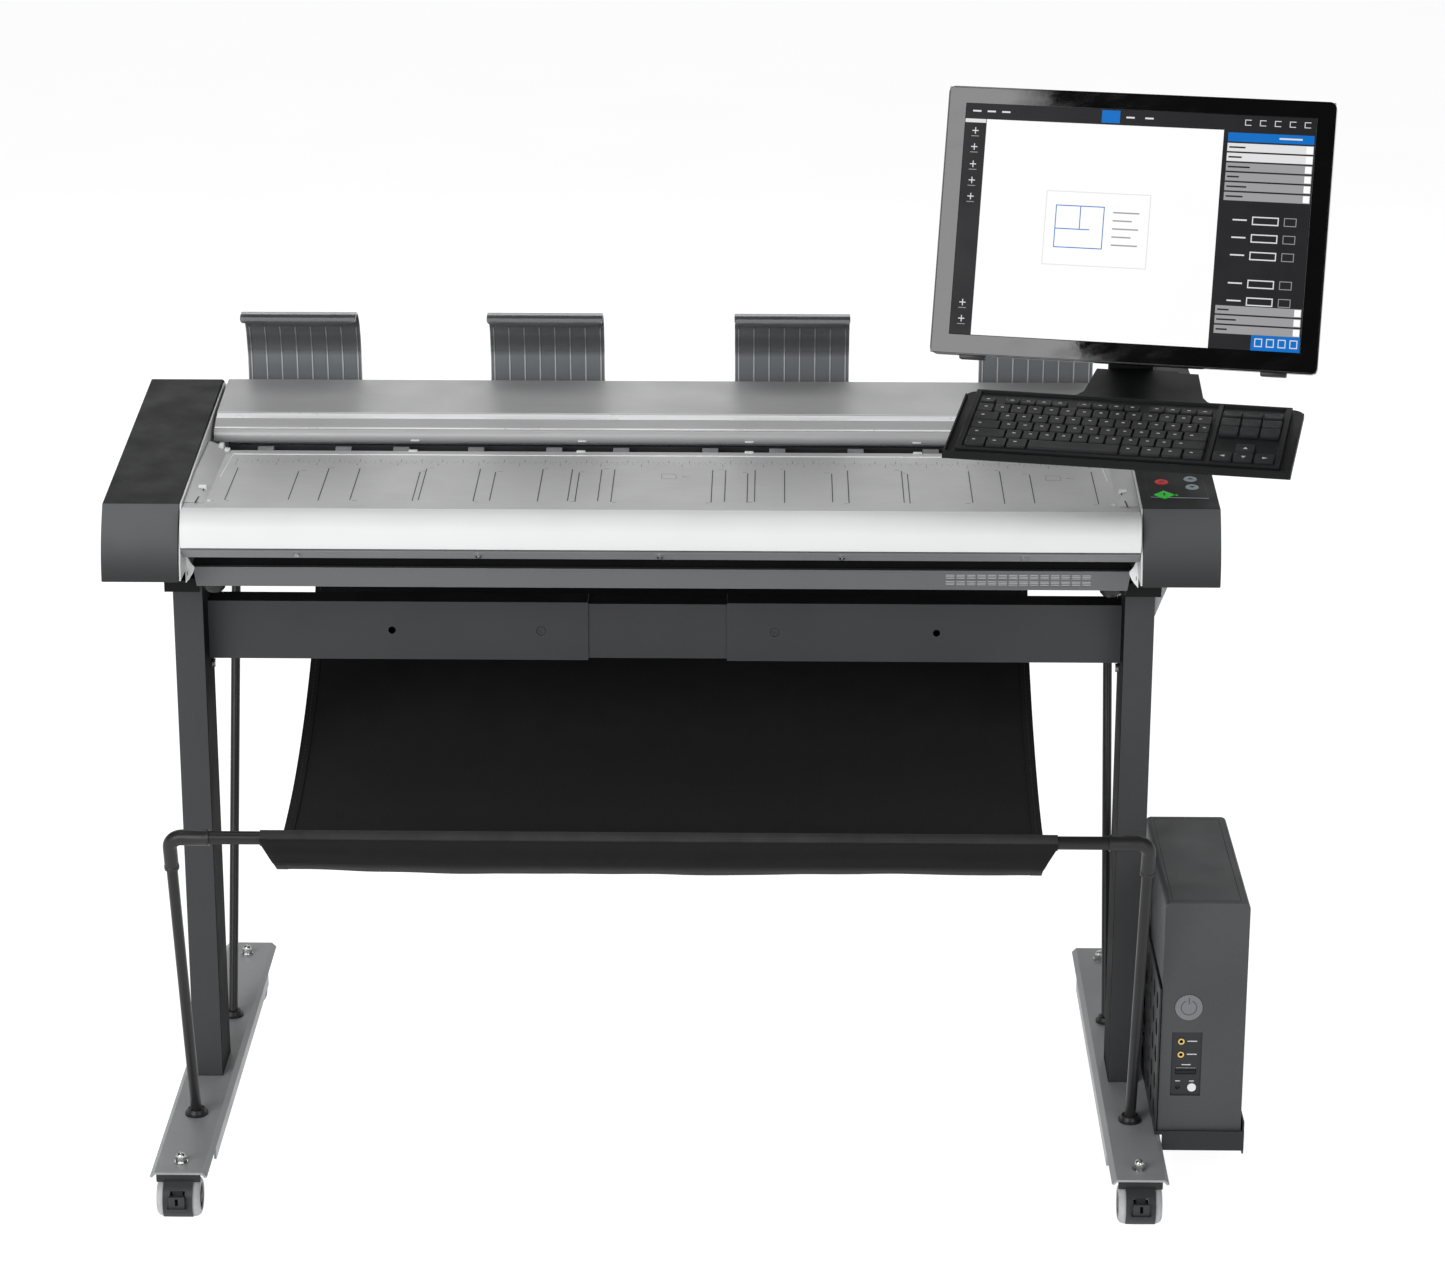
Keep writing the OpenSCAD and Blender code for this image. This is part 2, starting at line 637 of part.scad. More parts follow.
module roller(y, length_left) {
    x_rod(-cap_in - length_left, cap_in + 12, y, roller_z, shaft_r);
    for (x = roller_x) x_rod(x - 10, x + 10, y, roller_z, roller_d / 2);
    // belt pulley in the left cap
    x_rod(belt_x - belt_w / 2 - 0.5, belt_x + belt_w / 2 + 0.5, y, roller_z, pulley_r);
}
module infeed_roller() { color("#8f9193") placed() roller(infeed_y, 36); }
module outfeed_roller() { color("#8f9193") placed() roller(outfeed_y, 36); }
module scan_glass() { color("#9fb4bb") placed() box([-548, 176, paper_z - 4], [548, 250, paper_z]); }
module camera_box() {
    color("#2a2c2e") placed() difference() {
        box([-550, 170, pan_z + 30], [550, 252, paper_z - 4.5]);
        box([-540, 178, pan_z + 36], [540, 244, paper_z - 3]);
    }
}
module drive_motor() {
    color("#7a7c7e") placed() difference() {
        union() {
            x_rod(-cap_out + 10, belt_x - belt_w / 2 - 4, motor_y, motor_z, 21);
            box([-cap_out + 12, motor_y - 24, pan_z + 4],
                [belt_x - belt_w / 2 - 8, motor_y + 24, motor_z - 12]);
        }
        x_rod(belt_x - belt_w / 2 - 20, belt_x, motor_y, motor_z, 3 + fit);
    }
}
module motor_pulley() {
    color("#c7c9cb") placed() {
        x_rod(belt_x - belt_w / 2 - 18, belt_x, motor_y, motor_z, 3);
        x_rod(belt_x - belt_w / 2 - 0.5, belt_x + belt_w / 2 + 0.5, motor_y, motor_z, motor_pulley_r);
    }
}
// the belt runs round both roller pulleys and the motor's pulley: outer tangents of three circles
function tangent(a, ra, b, rb) =
    let (d = b - a, n = norm(d), t = atan2(d[1], d[0]) - acos((ra - rb) / n))
    [a + ra * [cos(t), sin(t)], b + rb * [cos(t), sin(t)]];
module belt_outline(extra) {
    a = [infeed_y, roller_z];
    b = [outfeed_y, roller_z];
    m = [motor_y, motor_z];
    ra = pulley_r + extra;
    rm = motor_pulley_r + extra;
    translate([a[0], a[1]]) circle(r = ra);
    translate([b[0], b[1]]) circle(r = ra);
    translate([m[0], m[1]]) circle(r = rm);
    polygon(concat(tangent(m, rm, b, ra), tangent(b, ra, a, ra), tangent(a, ra, m, rm)));
}
module drive_belt() {
    color("#1a1a1a") placed() translate([belt_x - belt_w / 2, 0, 0]) rotate([90, 0, 90])
        linear_extrude(belt_w) difference() {
            belt_outline(belt_t + 0.1);
            belt_outline(0.1);
        }
}
module control_board() {
    color("#2f6b46") placed() {
        box([590, 60, pan_z + 30], [592, 300, pan_z + 95]);
        box([592, 80, pan_z + 40], [604, 120, pan_z + 75]);
        box([592, 150, pan_z + 40], [598, 190, pan_z + 80]);
        box([592, 220, pan_z + 36], [620, 280, pan_z + 70]);
        box([cap_in, 90, pan_z + 30], [590, 96, pan_z + 60]);
        box([cap_in, 260, pan_z + 30], [590, 266, pan_z + 60]);
    }
}
guide_foot_y = [338, 356];
guide_keys = [[346, cover_z(346) + 1.6], [347, 900], [344, 930], [335, 958], [320, 978], [302, 988],
    [285, 986], [276, 978]];
guide_w = 147;
guide_t = 2.4;
guide_x = [-471, -157.3, 157.3, 471];
module paper_guides() {
    line = smooth(guide_keys, 2);
    color([0.3, 0.33, 0.36, 0.8]) placed() for (x = guide_x) {
        along_x(strip(line, guide_t), x - guide_w / 2, x + guide_w / 2);
        // foot that clips on the rear cover's slope
        along_x([for (lift = [0.02, 3], k = lift > 1 ? [1, 0] : [0, 1])
            [guide_foot_y[k], cover_z(guide_foot_y[k]) + lift]], x - guide_w / 2, x + guide_w / 2);
    }
}

// ---- monitor and keyboard ----
module arm_pole() {
    bracket_z = pan_z - saddle_h - 2;
    color("#5b5d60") placed() {
        // bracket from the right column to the foot of the pole
        box([foot_x + column_w / 2, 34, 700], [foot_x + column_w / 2 + 5, column_d - 4, bracket_z]);
        box([foot_x + column_w / 2, 44, bracket_z - 14], [pole_x + 12, pole_y, bracket_z]);
        cylinder_at(pole_x, pole_y, 680, pole_top - 40, pole_r);
        cylinder_at(pole_x, pole_y, pole_top - 41, pole_top, 14);
    }
}
module cylinder_at(x, y, z0, z1, r) { translate([x, y, z0]) cylinder(h = z1 - z0, r = r); }
module turned(c, t) { translate(c) rotate([0, 0, -turn]) rotate([-t, 0, 0]) children(); }
tilt_pivot = [44, -20];
tilt_pin_r = 4;
module swivel_arm() {
    color("#2c2d2f") placed() {
        difference() {
            union() {
                cylinder_at(pole_x, pole_y, pole_top - 39.7, arm_z + 26, 23);
                box([pole_x - 19, -100, arm_z], [pole_x + 19, pole_y, arm_z + 24]);
            }
            cylinder_at(pole_x, pole_y, pole_top - 60, pole_top + 0.5, 14 + fit);
        }
        // head: a plate under the tray's neck and an upright behind the monitor
        box([510, -100, arm_z + 4], [pole_x, -50, arm_z + 20]);
        tray_at() box([-40, 140, -34], [40, 180, -9]);
        box([530, -70, arm_z + 18], [582, -54, 1150]);
        // ears and pin for the monitor's tilt
        monitor_at() {
            box([-28, 54.2, -70], [28, 62, -11]);
            for (s = [-1, 1]) {
                x_rod(s * 24.5 - 3.5, s * 24.5 + 3.5, tilt_pivot[0], tilt_pivot[1], 9);
                box([s * 24.5 - 3.5, 44, -29], [s * 24.5 + 3.5, 56, -11]);
            }
            x_rod(-28, 28, tilt_pivot[0], tilt_pivot[1], tilt_pin_r);
        }
    }
}
// monitor frame: local X along the width, Y to the rear, Z up, before tilt and turn
module monitor_at() { turned(monitor_c, tilt) children(); }
module monitor_shell() {
    w = monitor_w / 2;
    h = monitor_h / 2;
    color("#151617") placed() monitor_at() {
        difference() {
            union() {
                rounded_slab(w, h, 8, 0, 14);
                rounded_slab(w - 6, h - 6, 8, 13, 22);
                box([-150, 21, -110], [150, shell_t, 100]);
                // tilt lug that turns on the pin between the arm's ears
                x_rod(-20.5, 20.5, tilt_pivot[0], tilt_pivot[1], 9);
                box([-20.5, shell_t - 1, -29], [20.5, tilt_pivot[0], -11]);
            }
            box([-w + 22, -1, -h + 24], [w - 22, 1.5, h - 20]);
            x_rod(-21, 21, tilt_pivot[0], tilt_pivot[1], tilt_pin_r + fit);
        }
    }
}
module rounded_slab(w, h, r, y0, y1) {
    for (s = [-1, 1], t = [-1, 1]) y_rod(y0, y1, s * (w - r), t * (h - r), r);
    box([-w + r, y0, -h], [w - r, y1, h]);
    box([-w, y0, -h + r], [w, y1, h - r]);
}
module monitor_screen() {
    w = monitor_w / 2 - 22;
    h = monitor_h / 2;
    color("#dfe3e8") placed() monitor_at() box([-w, 0.4, -h + 24], [w, 1.5, h - 20]);
}
module tray_at() { turned(tray_c, -tray_tilt) children(); }
module keyboard_tray() {
    w = tray_w / 2;
    d = tray_d / 2;
    neck_l = 82;
    color("#3f4043") placed() {
        tray_at() {
            box([-w, -d, -9], [w, d, -6]);
            box([-w, -d, -9], [w, -d + 3, 0]);
            box([-w, -d, -9], [-w + 3, d, 0]);
            box([w - 3, -d, -9], [w, d, 0]);
            // neck that narrows towards the arm
            translate([0, 0, -9]) linear_extrude(3) polygon([[-90, d - 1], [100, d - 1], [70, d + 14],
                [64, d + neck_l], [-56, d + neck_l], [-62, d + 14]]);
        }
    }
}
module keyboard_body() {
    w = kb_w / 2;
    d = kb_d / 2;
    color("#26272a") placed() tray_at() difference() {
        box([-w, -d - 2, -6], [w, d - 2, 2]);
        box([-w + 7, -d + 4, -0.5], [w - 84, d - 6, 3]);
        box([w - 78, -d + 4, -0.5], [w - 7, d - 6, 3]);
    }
}
// widths of the keys in each row, as shares of a plain key, front row first
key_rows = [
    [1.25, 1.25, 1.25, 5.5, 1.25, 1.25, 1.25, 1.25],
    [2.25, 1, 1, 1, 1, 1, 1, 1, 1, 1, 1, 2.0],
    [1.75, 1, 1, 1, 1, 1, 1, 1, 1, 1, 1, 1, 1.5],
    [1.5, 1, 1, 1, 1, 1, 1, 1, 1, 1, 1, 1, 1, 0.75],
    [1, 1, 1, 1, 1, 1, 1, 1, 1, 1, 1, 1, 1, 1.25],
    [1.25, 1, 1, 1, 1, 1, 1, 1, 1, 1, 1, 1, 1, 1]];
function sum(v, n) = n <= 0 ? 0 : v[n - 1] + sum(v, n - 1);
module keyboard_keys() {
    row_pitch = 21.95;
    key_z = [-0.4, 4];
    row_w = 271;
    x0 = -kb_w / 2 + 9;
    y0 = -kb_d / 2 + 5;
    nav_x = kb_w / 2 - 76;
    nav_pitch = 22.4;
    color("#2e2f32") placed() tray_at() {
        for (r = [0:5], k = [0:len(key_rows[r]) - 1]) {
            u = row_w / sum(key_rows[r], len(key_rows[r]));
            a = sum(key_rows[r], k) * u;
            box([x0 + a + 1, y0 + r * row_pitch + 1, key_z[0]],
                [x0 + a + key_rows[r][k] * u - 1, y0 + (r + 1) * row_pitch - 1.6, key_z[1]]);
        }
        // arrow keys, with one above the middle, and the navigation block
        for (c = [0:2], r = c == 1 ? [0, 1, 3, 4] : [0, 3, 4])
            box([nav_x + c * nav_pitch, y0 + r * row_pitch + 1, key_z[0]],
                [nav_x + c * nav_pitch + 20.4, y0 + (r + 1) * row_pitch - 1.6, key_z[1]]);
    }
}

// ---- computer ----
module pc_holder() {
    x0 = pc_x0 - 3.5;
    x1 = pc_x0 + pc_w + 4;
    y0 = pc_y0 - 3;
    y1 = pc_y0 + pc_d + 3;
    color("#2f3032") placed() {
        difference() {
            union() {
                // perforated side plate, outside the foot
                box([x0, y0, pc_z0 - 5], [x0 + 2, y1, pc_z0 + 190]);
                box([x0, y0, pc_z0 - 5], [x1, y1, pc_z0 - 2]);
            }
            for (i = [0:6], j = [0:4]) x_rod(x0 - 1, x0 + 3, y0 + 26 + i * 40, pc_z0 + 20 + j * 36, 11);
        }
        // lips: front, rear and outer
        box([x0, y0 - 2, pc_z0 - 5], [x1, y0, pc_z0]);
        box([foot_x + foot_w / 2 + 1, y0 - 2, pc_z0 - 26], [x1, y0, pc_z0 - 4]);
        box([x1 - 2, y0, pc_z0 - 31], [x1, y1, pc_z0 + 12]);
        box([x0, y1 - 2, pc_z0 - 5], [x1, y1, pc_z0 + 12]);
        // arms to the column
        box([foot_x + column_w / 2, 10, pc_z0 + 120], [x0 + 1, 60, pc_z0 + 124]);
        box([foot_x + column_w / 2, 10, pc_z0 + 60], [x0 + 1, 60, pc_z0 + 64]);
    }
}
pc_face_r = 17;
pc_reset_r = 5.4;
module pc_case() {
    corner = 7;
    x1 = pc_x0 + pc_w;
    y1 = pc_y0 + pc_d;
    z1 = pc_z0 + pc_h;
    color("#474a4d") placed() difference() {
        along_y(concat([[pc_x0, pc_z0 - 2], [x1, pc_z0 - 2]],
            arc([x1 - corner, z1 - corner], corner, 0, 90, 6),
            arc([pc_x0 + corner, z1 - corner], corner, 90, 180, 6)), pc_y0, y1);
        box([pc_x0 + 3, pc_y0 + 6, pc_z0], [x1 - 3, y1 - 2, z1 - 3]);
        // seat of the power button, port recess and reset button hole
        y_rod(pc_y0 - 1, pc_y0 + 8, pc_button[0], pc_button[1], pc_face_r + gap);
        box([pc_x0 + 14, pc_y0 - 1, pc_z0 + 46], [pc_x0 + 51, pc_y0 + 2, pc_z0 + 131]);
        y_rod(pc_y0 - 1, pc_y0 + 8, pc_reset[0], pc_reset[1], pc_reset_r + gap);
        y_rod(pc_y0 - 1, pc_y0 + 5, pc_x0 + 23, pc_z0 + 56.5, 3);
        for (j = [0, 1]) y_rod(pc_y0 - 1, pc_y0 + 5, pc_x0 + 25.5, pc_z0 + 101 + j * 17.5, 3.2);
        box([pc_x0 + 19.5, pc_y0 - 1, pc_z0 + 74], [pc_x0 + 45, pc_y0 + 5, pc_z0 + 82.5]);
        // vent slots at the rear
        for (i = [0:9])
            box([pc_x0 + 14, y1 - 3, pc_z0 + 60 + i * 9], [x1 - 14, y1 + 1, pc_z0 + 64 + i * 9]);
    }
}
module pc_power_button() {
    color("#6a6e72") placed() {
        y_rod(pc_y0 - 1, pc_y0 + 6.5, pc_button[0], pc_button[1], pc_face_r);
        y_rod(pc_y0 + 6.3, pc_y0 + 8, pc_button[0], pc_button[1], pc_face_r + 2);
    }
}
module pc_reset_button() {
    color("#d6d8da") placed() {
        y_rod(pc_y0 + 0.8, pc_y0 + 6.5, pc_reset[0], pc_reset[1], pc_reset_r);
        y_rod(pc_y0 + 6.3, pc_y0 + 8, pc_reset[0], pc_reset[1], pc_reset_r + 2);
    }
}

foot_left();
foot_right();
column_left();
column_right();
saddle_plates();
crossbeam_center();
crossbeam_sleeve_left();
crossbeam_sleeve_right();
screws_and_nuts();
rod_grommets();
basket_rods_front();
basket_elbows();
basket_rod_cross();
basket_rod_rear();
basket_fabric();
caster_hood_fl();
caster_hood_fr();
caster_hood_rl();
caster_hood_rr();
caster_wheels_fl();
caster_wheels_fr();
caster_wheels_rl();
caster_wheels_rr();
brake_pedal_left();
brake_pedal_right();
base_pan();
recess_panel();
rear_cover();
loading_table();
table_nose();
side_ramps();
end_cap_left();
end_cap_right();
inner_side_walls();
lid();
pressure_plate();
infeed_roller();
outfeed_roller();
scan_glass();
camera_box();
drive_motor();
motor_pulley();
drive_belt();
control_board();
button_stop();
button_start();
button_up();
button_down();
paper_guides();
arm_pole();
swivel_arm();
monitor_shell();
monitor_screen();
keyboard_tray();
keyboard_body();
keyboard_keys();
pc_holder();
pc_case();
pc_power_button();
pc_reset_button();
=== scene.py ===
import json
import math
import random

import bmesh
import bpy
from mathutils import Matrix, Vector, noise


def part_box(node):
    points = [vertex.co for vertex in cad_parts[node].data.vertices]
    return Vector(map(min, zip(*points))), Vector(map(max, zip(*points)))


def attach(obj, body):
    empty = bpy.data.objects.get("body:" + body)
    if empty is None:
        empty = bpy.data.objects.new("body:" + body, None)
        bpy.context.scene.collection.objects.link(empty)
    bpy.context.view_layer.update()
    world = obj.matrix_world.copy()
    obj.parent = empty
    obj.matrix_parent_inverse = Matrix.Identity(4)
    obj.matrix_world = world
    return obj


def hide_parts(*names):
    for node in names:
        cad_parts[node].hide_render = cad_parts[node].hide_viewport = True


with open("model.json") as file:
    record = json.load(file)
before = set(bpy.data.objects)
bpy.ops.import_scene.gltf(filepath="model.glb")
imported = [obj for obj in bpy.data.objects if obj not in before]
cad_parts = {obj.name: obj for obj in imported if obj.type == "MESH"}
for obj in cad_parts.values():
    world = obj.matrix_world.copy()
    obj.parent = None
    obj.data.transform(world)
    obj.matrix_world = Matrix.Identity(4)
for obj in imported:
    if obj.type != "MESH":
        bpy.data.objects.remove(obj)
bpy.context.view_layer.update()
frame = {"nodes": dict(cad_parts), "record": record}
dice = random.Random(7)

# ---------------------------------------------------------------- units and places
# Shapes are written in millimetres. X is measured from the middle, Y from the columns' front face
# towards the rear, Z from the floor, and piece() moves them into the row frame.
MM = 0.001
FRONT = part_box("column_left")[0].y
TO_FRAME = Matrix.Translation((0, FRONT, 0)) @ Matrix.Scale(MM, 4)
TO_MM = TO_FRAME.inverted()


def low(node):
    """The lowest corner of a node's box."""
    return TO_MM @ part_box(node)[0]


def high(node):
    """The highest corner of a node's box."""
    return TO_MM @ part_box(node)[1]


def middle(node):
    return (low(node) + high(node)) / 2


def turned(centre, tilt):
    """A frame whose X runs along the width, Y to the rear and Z up, tilted and turned to the right."""
    turn = math.radians(-TURN)
    return (Matrix.Translation(centre) @ Matrix.Rotation(turn, 4, "Z")
            @ Matrix.Rotation(math.radians(-tilt), 4, "X"))


TURN = 12
MONITOR_TILT = 20
TRAY_SLOPE = 10
TABLE_FALL = 5 / 228.5
CAP_SLOPE = 0.1036
ROD_R = 8
REAR_R = 6
SCREEN = turned(middle("monitor_screen"), MONITOR_TILT)
TRAY = turned(middle("keyboard_body"), -TRAY_SLOPE)

CAP_INNER = low("end_cap_right").x
CAP_OUTER = high("end_cap_right").x


def on_table(x, y, lift=0.0):
    """A point on the paper table, lifted by so many millimetres."""
    return Vector((x, y, 850 + TABLE_FALL * (y + 98.5) + lift))


def on_cap(x, y, lift=0.0):
    """A point on the sloping top of an end cap."""
    return Vector((x, y, 854.5 + CAP_SLOPE * (y + 98.5) + lift))


# ---------------------------------------------------------------- materials
class Look:
    """A Principled material and short calls for its nodes."""

    def __init__(self, name, sockets):
        self.material = bpy.data.materials.new(name)
        self.material.use_nodes = True
        self.tree = self.material.node_tree
        self.shader = next(n for n in self.tree.nodes if n.type == "BSDF_PRINCIPLED")
        for key, value in sockets.items():
            self.shader.inputs[key].default_value = value

    def node(self, kind, inputs=None, **settings):
        made = self.tree.nodes.new("ShaderNode" + kind)
        for key, value in settings.items():
            setattr(made, key, value)
        for key, value in (inputs or {}).items():
            if isinstance(value, bpy.types.NodeSocket):
                self.tree.links.new(value, made.inputs[key])
            else:
                made.inputs[key].default_value = value
        return made.outputs

    def place(self, stretch=(1, 1, 1), turn=(0, 0, 0)):
        here = self.node("TexCoord")["Object"]
        return self.node("Mapping", {"Vector": here, "Scale": stretch, "Rotation": turn})[0]

    def grain(self, place, scale, detail=3.0, rough=0.5):
        return self.node("TexNoise", {"Vector": place, "Scale": scale, "Detail": detail,
                                      "Roughness": rough})[0]

    def spread(self, value, low_in, high_in, low_out, high_out):
        return self.node("MapRange", {"Value": value, "From Min": low_in, "From Max": high_in,
                                      "To Min": low_out, "To Max": high_out})[0]

    def maths(self, operation, a, b):
        return self.node("Math", {0: a, 1: b}, operation=operation)[0]

    def mix(self, share, a, b):
        return self.node("Mix", {0: share, 6: a, 7: b}, data_type="RGBA")[2]

    def edges(self, radius):
        """1 on edges rounder than the radius allows, 0 on flat faces."""
        soft = self.node("Bevel", {"Radius": radius}, samples=4)[0]
        true = self.node("NewGeometry")["True Normal"]
        dot = self.node("VectorMath", {0: soft, 1: true}, operation="DOT_PRODUCT")["Value"]
        return self.spread(dot, 0.98, 0.82, 0.0, 1.0)

    def set(self, socket, value):
        self.tree.links.new(value, self.shader.inputs[socket])

    def bump(self, *layers):
        """Layers of (height, strength, distance in metres), one on the other."""
        normal = None
        for height, strength, distance in layers:
            inputs = {"Height": height, "Strength": strength, "Distance": distance}
            if normal is not None:
                inputs["Normal"] = normal
            normal = self.node("Bump", inputs)[0]
        self.set("Normal", normal)


def tone(colour, factor):
    return tuple(min(1.0, c * factor) for c in colour[:3]) + (1.0,)


def paint(name, colour, roughness, worn, wear=0.3, peel=0.16, sockets=None):
    """Powder coat: fine orange peel, slow changes of tone, rubbed edges and a few dusty patches."""
    look = Look(name, sockets or {})
    where = look.place()
    broad = look.grain(where, 5.0, 4.0)
    fine = look.grain(where, 620.0, 2.0)
    body = look.mix(look.spread(broad, 0.3, 0.7, 0, 1), tone(colour, 0.9), tone(colour, 1.1))
    speckled = look.mix(look.spread(fine, 0.4, 0.7, 0, 0.35), body, tone(colour, 1.25))
    spots = look.spread(look.grain(where, 42.0, 6.0), 0.42, 0.62, 0.25, 1)
    rub = look.maths("MULTIPLY", look.edges(0.0014), spots)
    rubbed = look.maths("MULTIPLY", rub, wear)
    look.set("Base Color", look.mix(rubbed, speckled, tone(worn, 1.0)))
    patches = look.grain(where, 16.0, 5.0)
    look.set("Roughness", look.spread(patches, 0.3, 0.7, roughness - 0.06, roughness + 0.08))
    look.bump((fine, peel, 0.00018), (look.grain(where, 90.0, 3.0), peel * 0.3, 0.0004))
    return look.material


def moulded(name, colour, roughness=0.5, texture=0.25, size=900.0, sockets=None, fade=None):
    """Injection-moulded plastic with a spark-eroded texture and a painted highlight that lightens its
    rounded edges. fade is a painted shade that darkens the colour towards the bottom: (low height, high
    height, share of the colour left at the low one)."""
    look = Look(name, {"Specular IOR Level": 0.3, **(sockets or {})})
    where = look.place()
    cells = look.node("TexVoronoi", {"Vector": where, "Scale": size, "Randomness": 1.0})[0]
    broad = look.grain(where, 7.0, 4.0)
    body = look.mix(look.spread(broad, 0.3, 0.7, 0, 1), tone(colour, 0.96), tone(colour, 1.04))
    # painted shade: darker towards the bottom where fade is given
    if fade:
        height = look.node("SeparateXYZ", {0: where})[2]
        share = look.node("MapRange", {"Value": height, "From Min": fade[0], "From Max": fade[1]},
                          interpolation_type="SMOOTHSTEP")[0]
        body = look.mix(share, tone(colour, fade[2]), body)
    # painted highlight: rounded edges take a lighter colour
    edge = look.maths("MULTIPLY", look.edges(0.001), 0.45)
    look.set("Base Color", look.mix(edge, body, tone(colour, 1.5)))
    smear = look.grain(where, 24.0, 5.0)
    look.set("Roughness", look.spread(smear, 0.3, 0.7, roughness - 0.07, roughness + 0.07))
    look.bump((cells, texture, 0.00012), (look.grain(where, 1500.0, 2.0), texture * 0.5, 0.0001))
    return look.material


def brushed(name, colour, stretch, roughness=0.35, metallic=0.9, strength=0.12, sockets=None):
    """Metal or metallic paint with a grain drawn out along one axis."""
    look = Look(name, {"Metallic": metallic, **(sockets or {})})
    along = look.place(stretch)
    where = look.place()
    lines = look.grain(along, 900.0, 4.0, 0.6)
    broad = look.grain(where, 4.0, 4.0)
    body = look.mix(look.spread(broad, 0.3, 0.7, 0, 1), tone(colour, 0.94), tone(colour, 1.05))
    streaked = look.mix(look.spread(lines, 0.35, 0.65, 0, 0.5), body, tone(colour, 0.85))
    # painted highlight: rounded edges take a lighter colour
    edge = look.maths("MULTIPLY", look.edges(0.0008), 0.4)
    look.set("Base Color", look.mix(edge, streaked, tone(colour, 1.35)))
    smear = look.grain(where, 20.0, 5.0)
    look.set("Roughness", look.spread(smear, 0.3, 0.7, roughness - 0.05, roughness + 0.07))
    look.bump((lines, strength, 0.0001))
    return look.material


def gloss(name, colour, roughness=0.12, sockets=None):
    """Polished plastic with faint wipe marks."""
    look = Look(name, {"Coat Weight": 0.5, "Coat Roughness": 0.05, **(sockets or {})})
    where = look.place()
    wipes = look.grain(look.place((1, 6, 2), (0.3, 0.2, 0.5)), 18.0, 6.0)
    body = look.mix(look.grain(where, 9.0, 3.0), tone(colour, 0.9), tone(colour, 1.1))
    # painted highlight: rounded edges take a lighter colour
    edge = look.maths("MULTIPLY", look.edges(0.0007), 0.3)
    look.set("Base Color", look.mix(edge, body, tone(colour, 1.4)))
    look.set("Roughness", look.spread(wipes, 0.35, 0.7, roughness, roughness + 0.08))
    look.bump((look.grain(where, 160.0, 2.0), 0.03, 0.0002))
    return look.material


def rubber(name, colour, groove=0.0):
    """Matt rubber with a dusty bloom, and fine ground grooves where asked."""
    look = Look(name, {"Specular IOR Level": 0.3})
    where = look.place()
    dust = look.grain(where, 60.0, 6.0)
    body = look.mix(look.spread(dust, 0.35, 0.75, 0, 1), tone(colour, 0.85), tone(colour, 1.18))
    # painted highlight: rounded edges take a lighter colour
    edge = look.maths("MULTIPLY", look.edges(0.001), 0.4)
    look.set("Base Color", look.mix(edge, body, tone(colour, 1.3)))
    look.set("Roughness", look.spread(dust, 0.3, 0.7, 0.62, 0.85))
    bands = look.node("TexWave", {"Vector": where, "Scale": 180.0}, bands_direction="X")[1]
    look.bump((look.grain(where, 700.0, 3.0), 0.25, 0.0002), (bands, groove, 0.0003))
    return look.material


def weave(name, colour):
    """Plain-woven polyester: warp and weft threads over and under, with lint and a soft sheen."""
    look = Look(name, {"Sheen Weight": 0.06, "Sheen Roughness": 0.5, "Specular IOR Level": 0.12})
    where = look.place()
    warp = look.node("TexWave", {"Vector": where, "Scale": 200.0, "Distortion": 0.6, "Detail": 1.0},
                     bands_direction="X", wave_profile="SIN")[1]
    weft = look.node("TexWave", {"Vector": where, "Scale": 200.0, "Distortion": 0.6, "Detail": 1.0},
                     bands_direction="Y", wave_profile="SIN")[1]
    threads = look.maths("MULTIPLY", warp, weft)
    lint = look.grain(where, 30.0, 6.0)
    body = look.mix(look.spread(lint, 0.3, 0.75, 0, 1), tone(colour, 0.8), tone(colour, 1.3))
    look.set("Base Color", look.mix(look.spread(threads, 0.1, 0.8, 0.0, 0.7), body, tone(colour, 1.6)))
    look.set("Roughness", look.spread(lint, 0.3, 0.7, 0.78, 0.93))
    look.bump((threads, 0.5, 0.0004), (look.grain(where, 9.0, 3.0), 0.2, 0.002))
    return look.material


def smoke(name, colour):
    """Smoke-tinted clear plastic: light comes through it, and its face is glossy."""
    look = Look(name, {"Alpha": 0.86, "Coat Weight": 0.6, "Coat Roughness": 0.06, "IOR": 1.49})
    where = look.place()
    # painted light: paler towards the foot, with moulded bands across
    height = look.node("SeparateXYZ", {0: where})[2]
    pale = look.spread(height, 0.921, 0.929, 1.0, 0.0)
    bands = look.node("TexWave", {"Vector": where, "Scale": 11.0, "Distortion": 0.3},
                      bands_direction="Z")[1]
    flow = look.mix(look.spread(bands, 0.2, 0.9, 0, 1), tone(colour, 0.7), tone(colour, 1.25))
    look.set("Base Color", look.mix(pale, flow, tone(colour, 2.9)))
    look.set("Roughness", look.spread(look.grain(where, 30.0, 5.0), 0.3, 0.7, 0.1, 0.24))
    look.bump((look.grain(where, 40.0, 2.0), 0.05, 0.0004))
    return look.material


def lit(name, colour, strength=1.0):
    """A lit part of the display: even light with the panel's fine pixel rows in it."""
    look = Look(name, {"Emission Strength": strength, "Specular IOR Level": 0.07})
    rows = look.node("TexWave", {"Vector": look.place(), "Scale": 300.0}, bands_direction="Z")[1]
    shade = look.mix(look.spread(rows, 0, 1, 0, 1), tone(colour, 0.95), tone(colour, 1.0))
    slow = look.mix(look.grain(look.place(), 3.0, 2.0), shade, tone(colour, 0.97))
    look.set("Emission Color", slow)
    look.set("Base Color", look.mix(rows, tone(colour, 0.05), tone(colour, 0.06)))
    look.set("Roughness", look.spread(look.grain(look.place(), 25.0, 4.0), 0.3, 0.7, 0.18, 0.3))
    return look.material


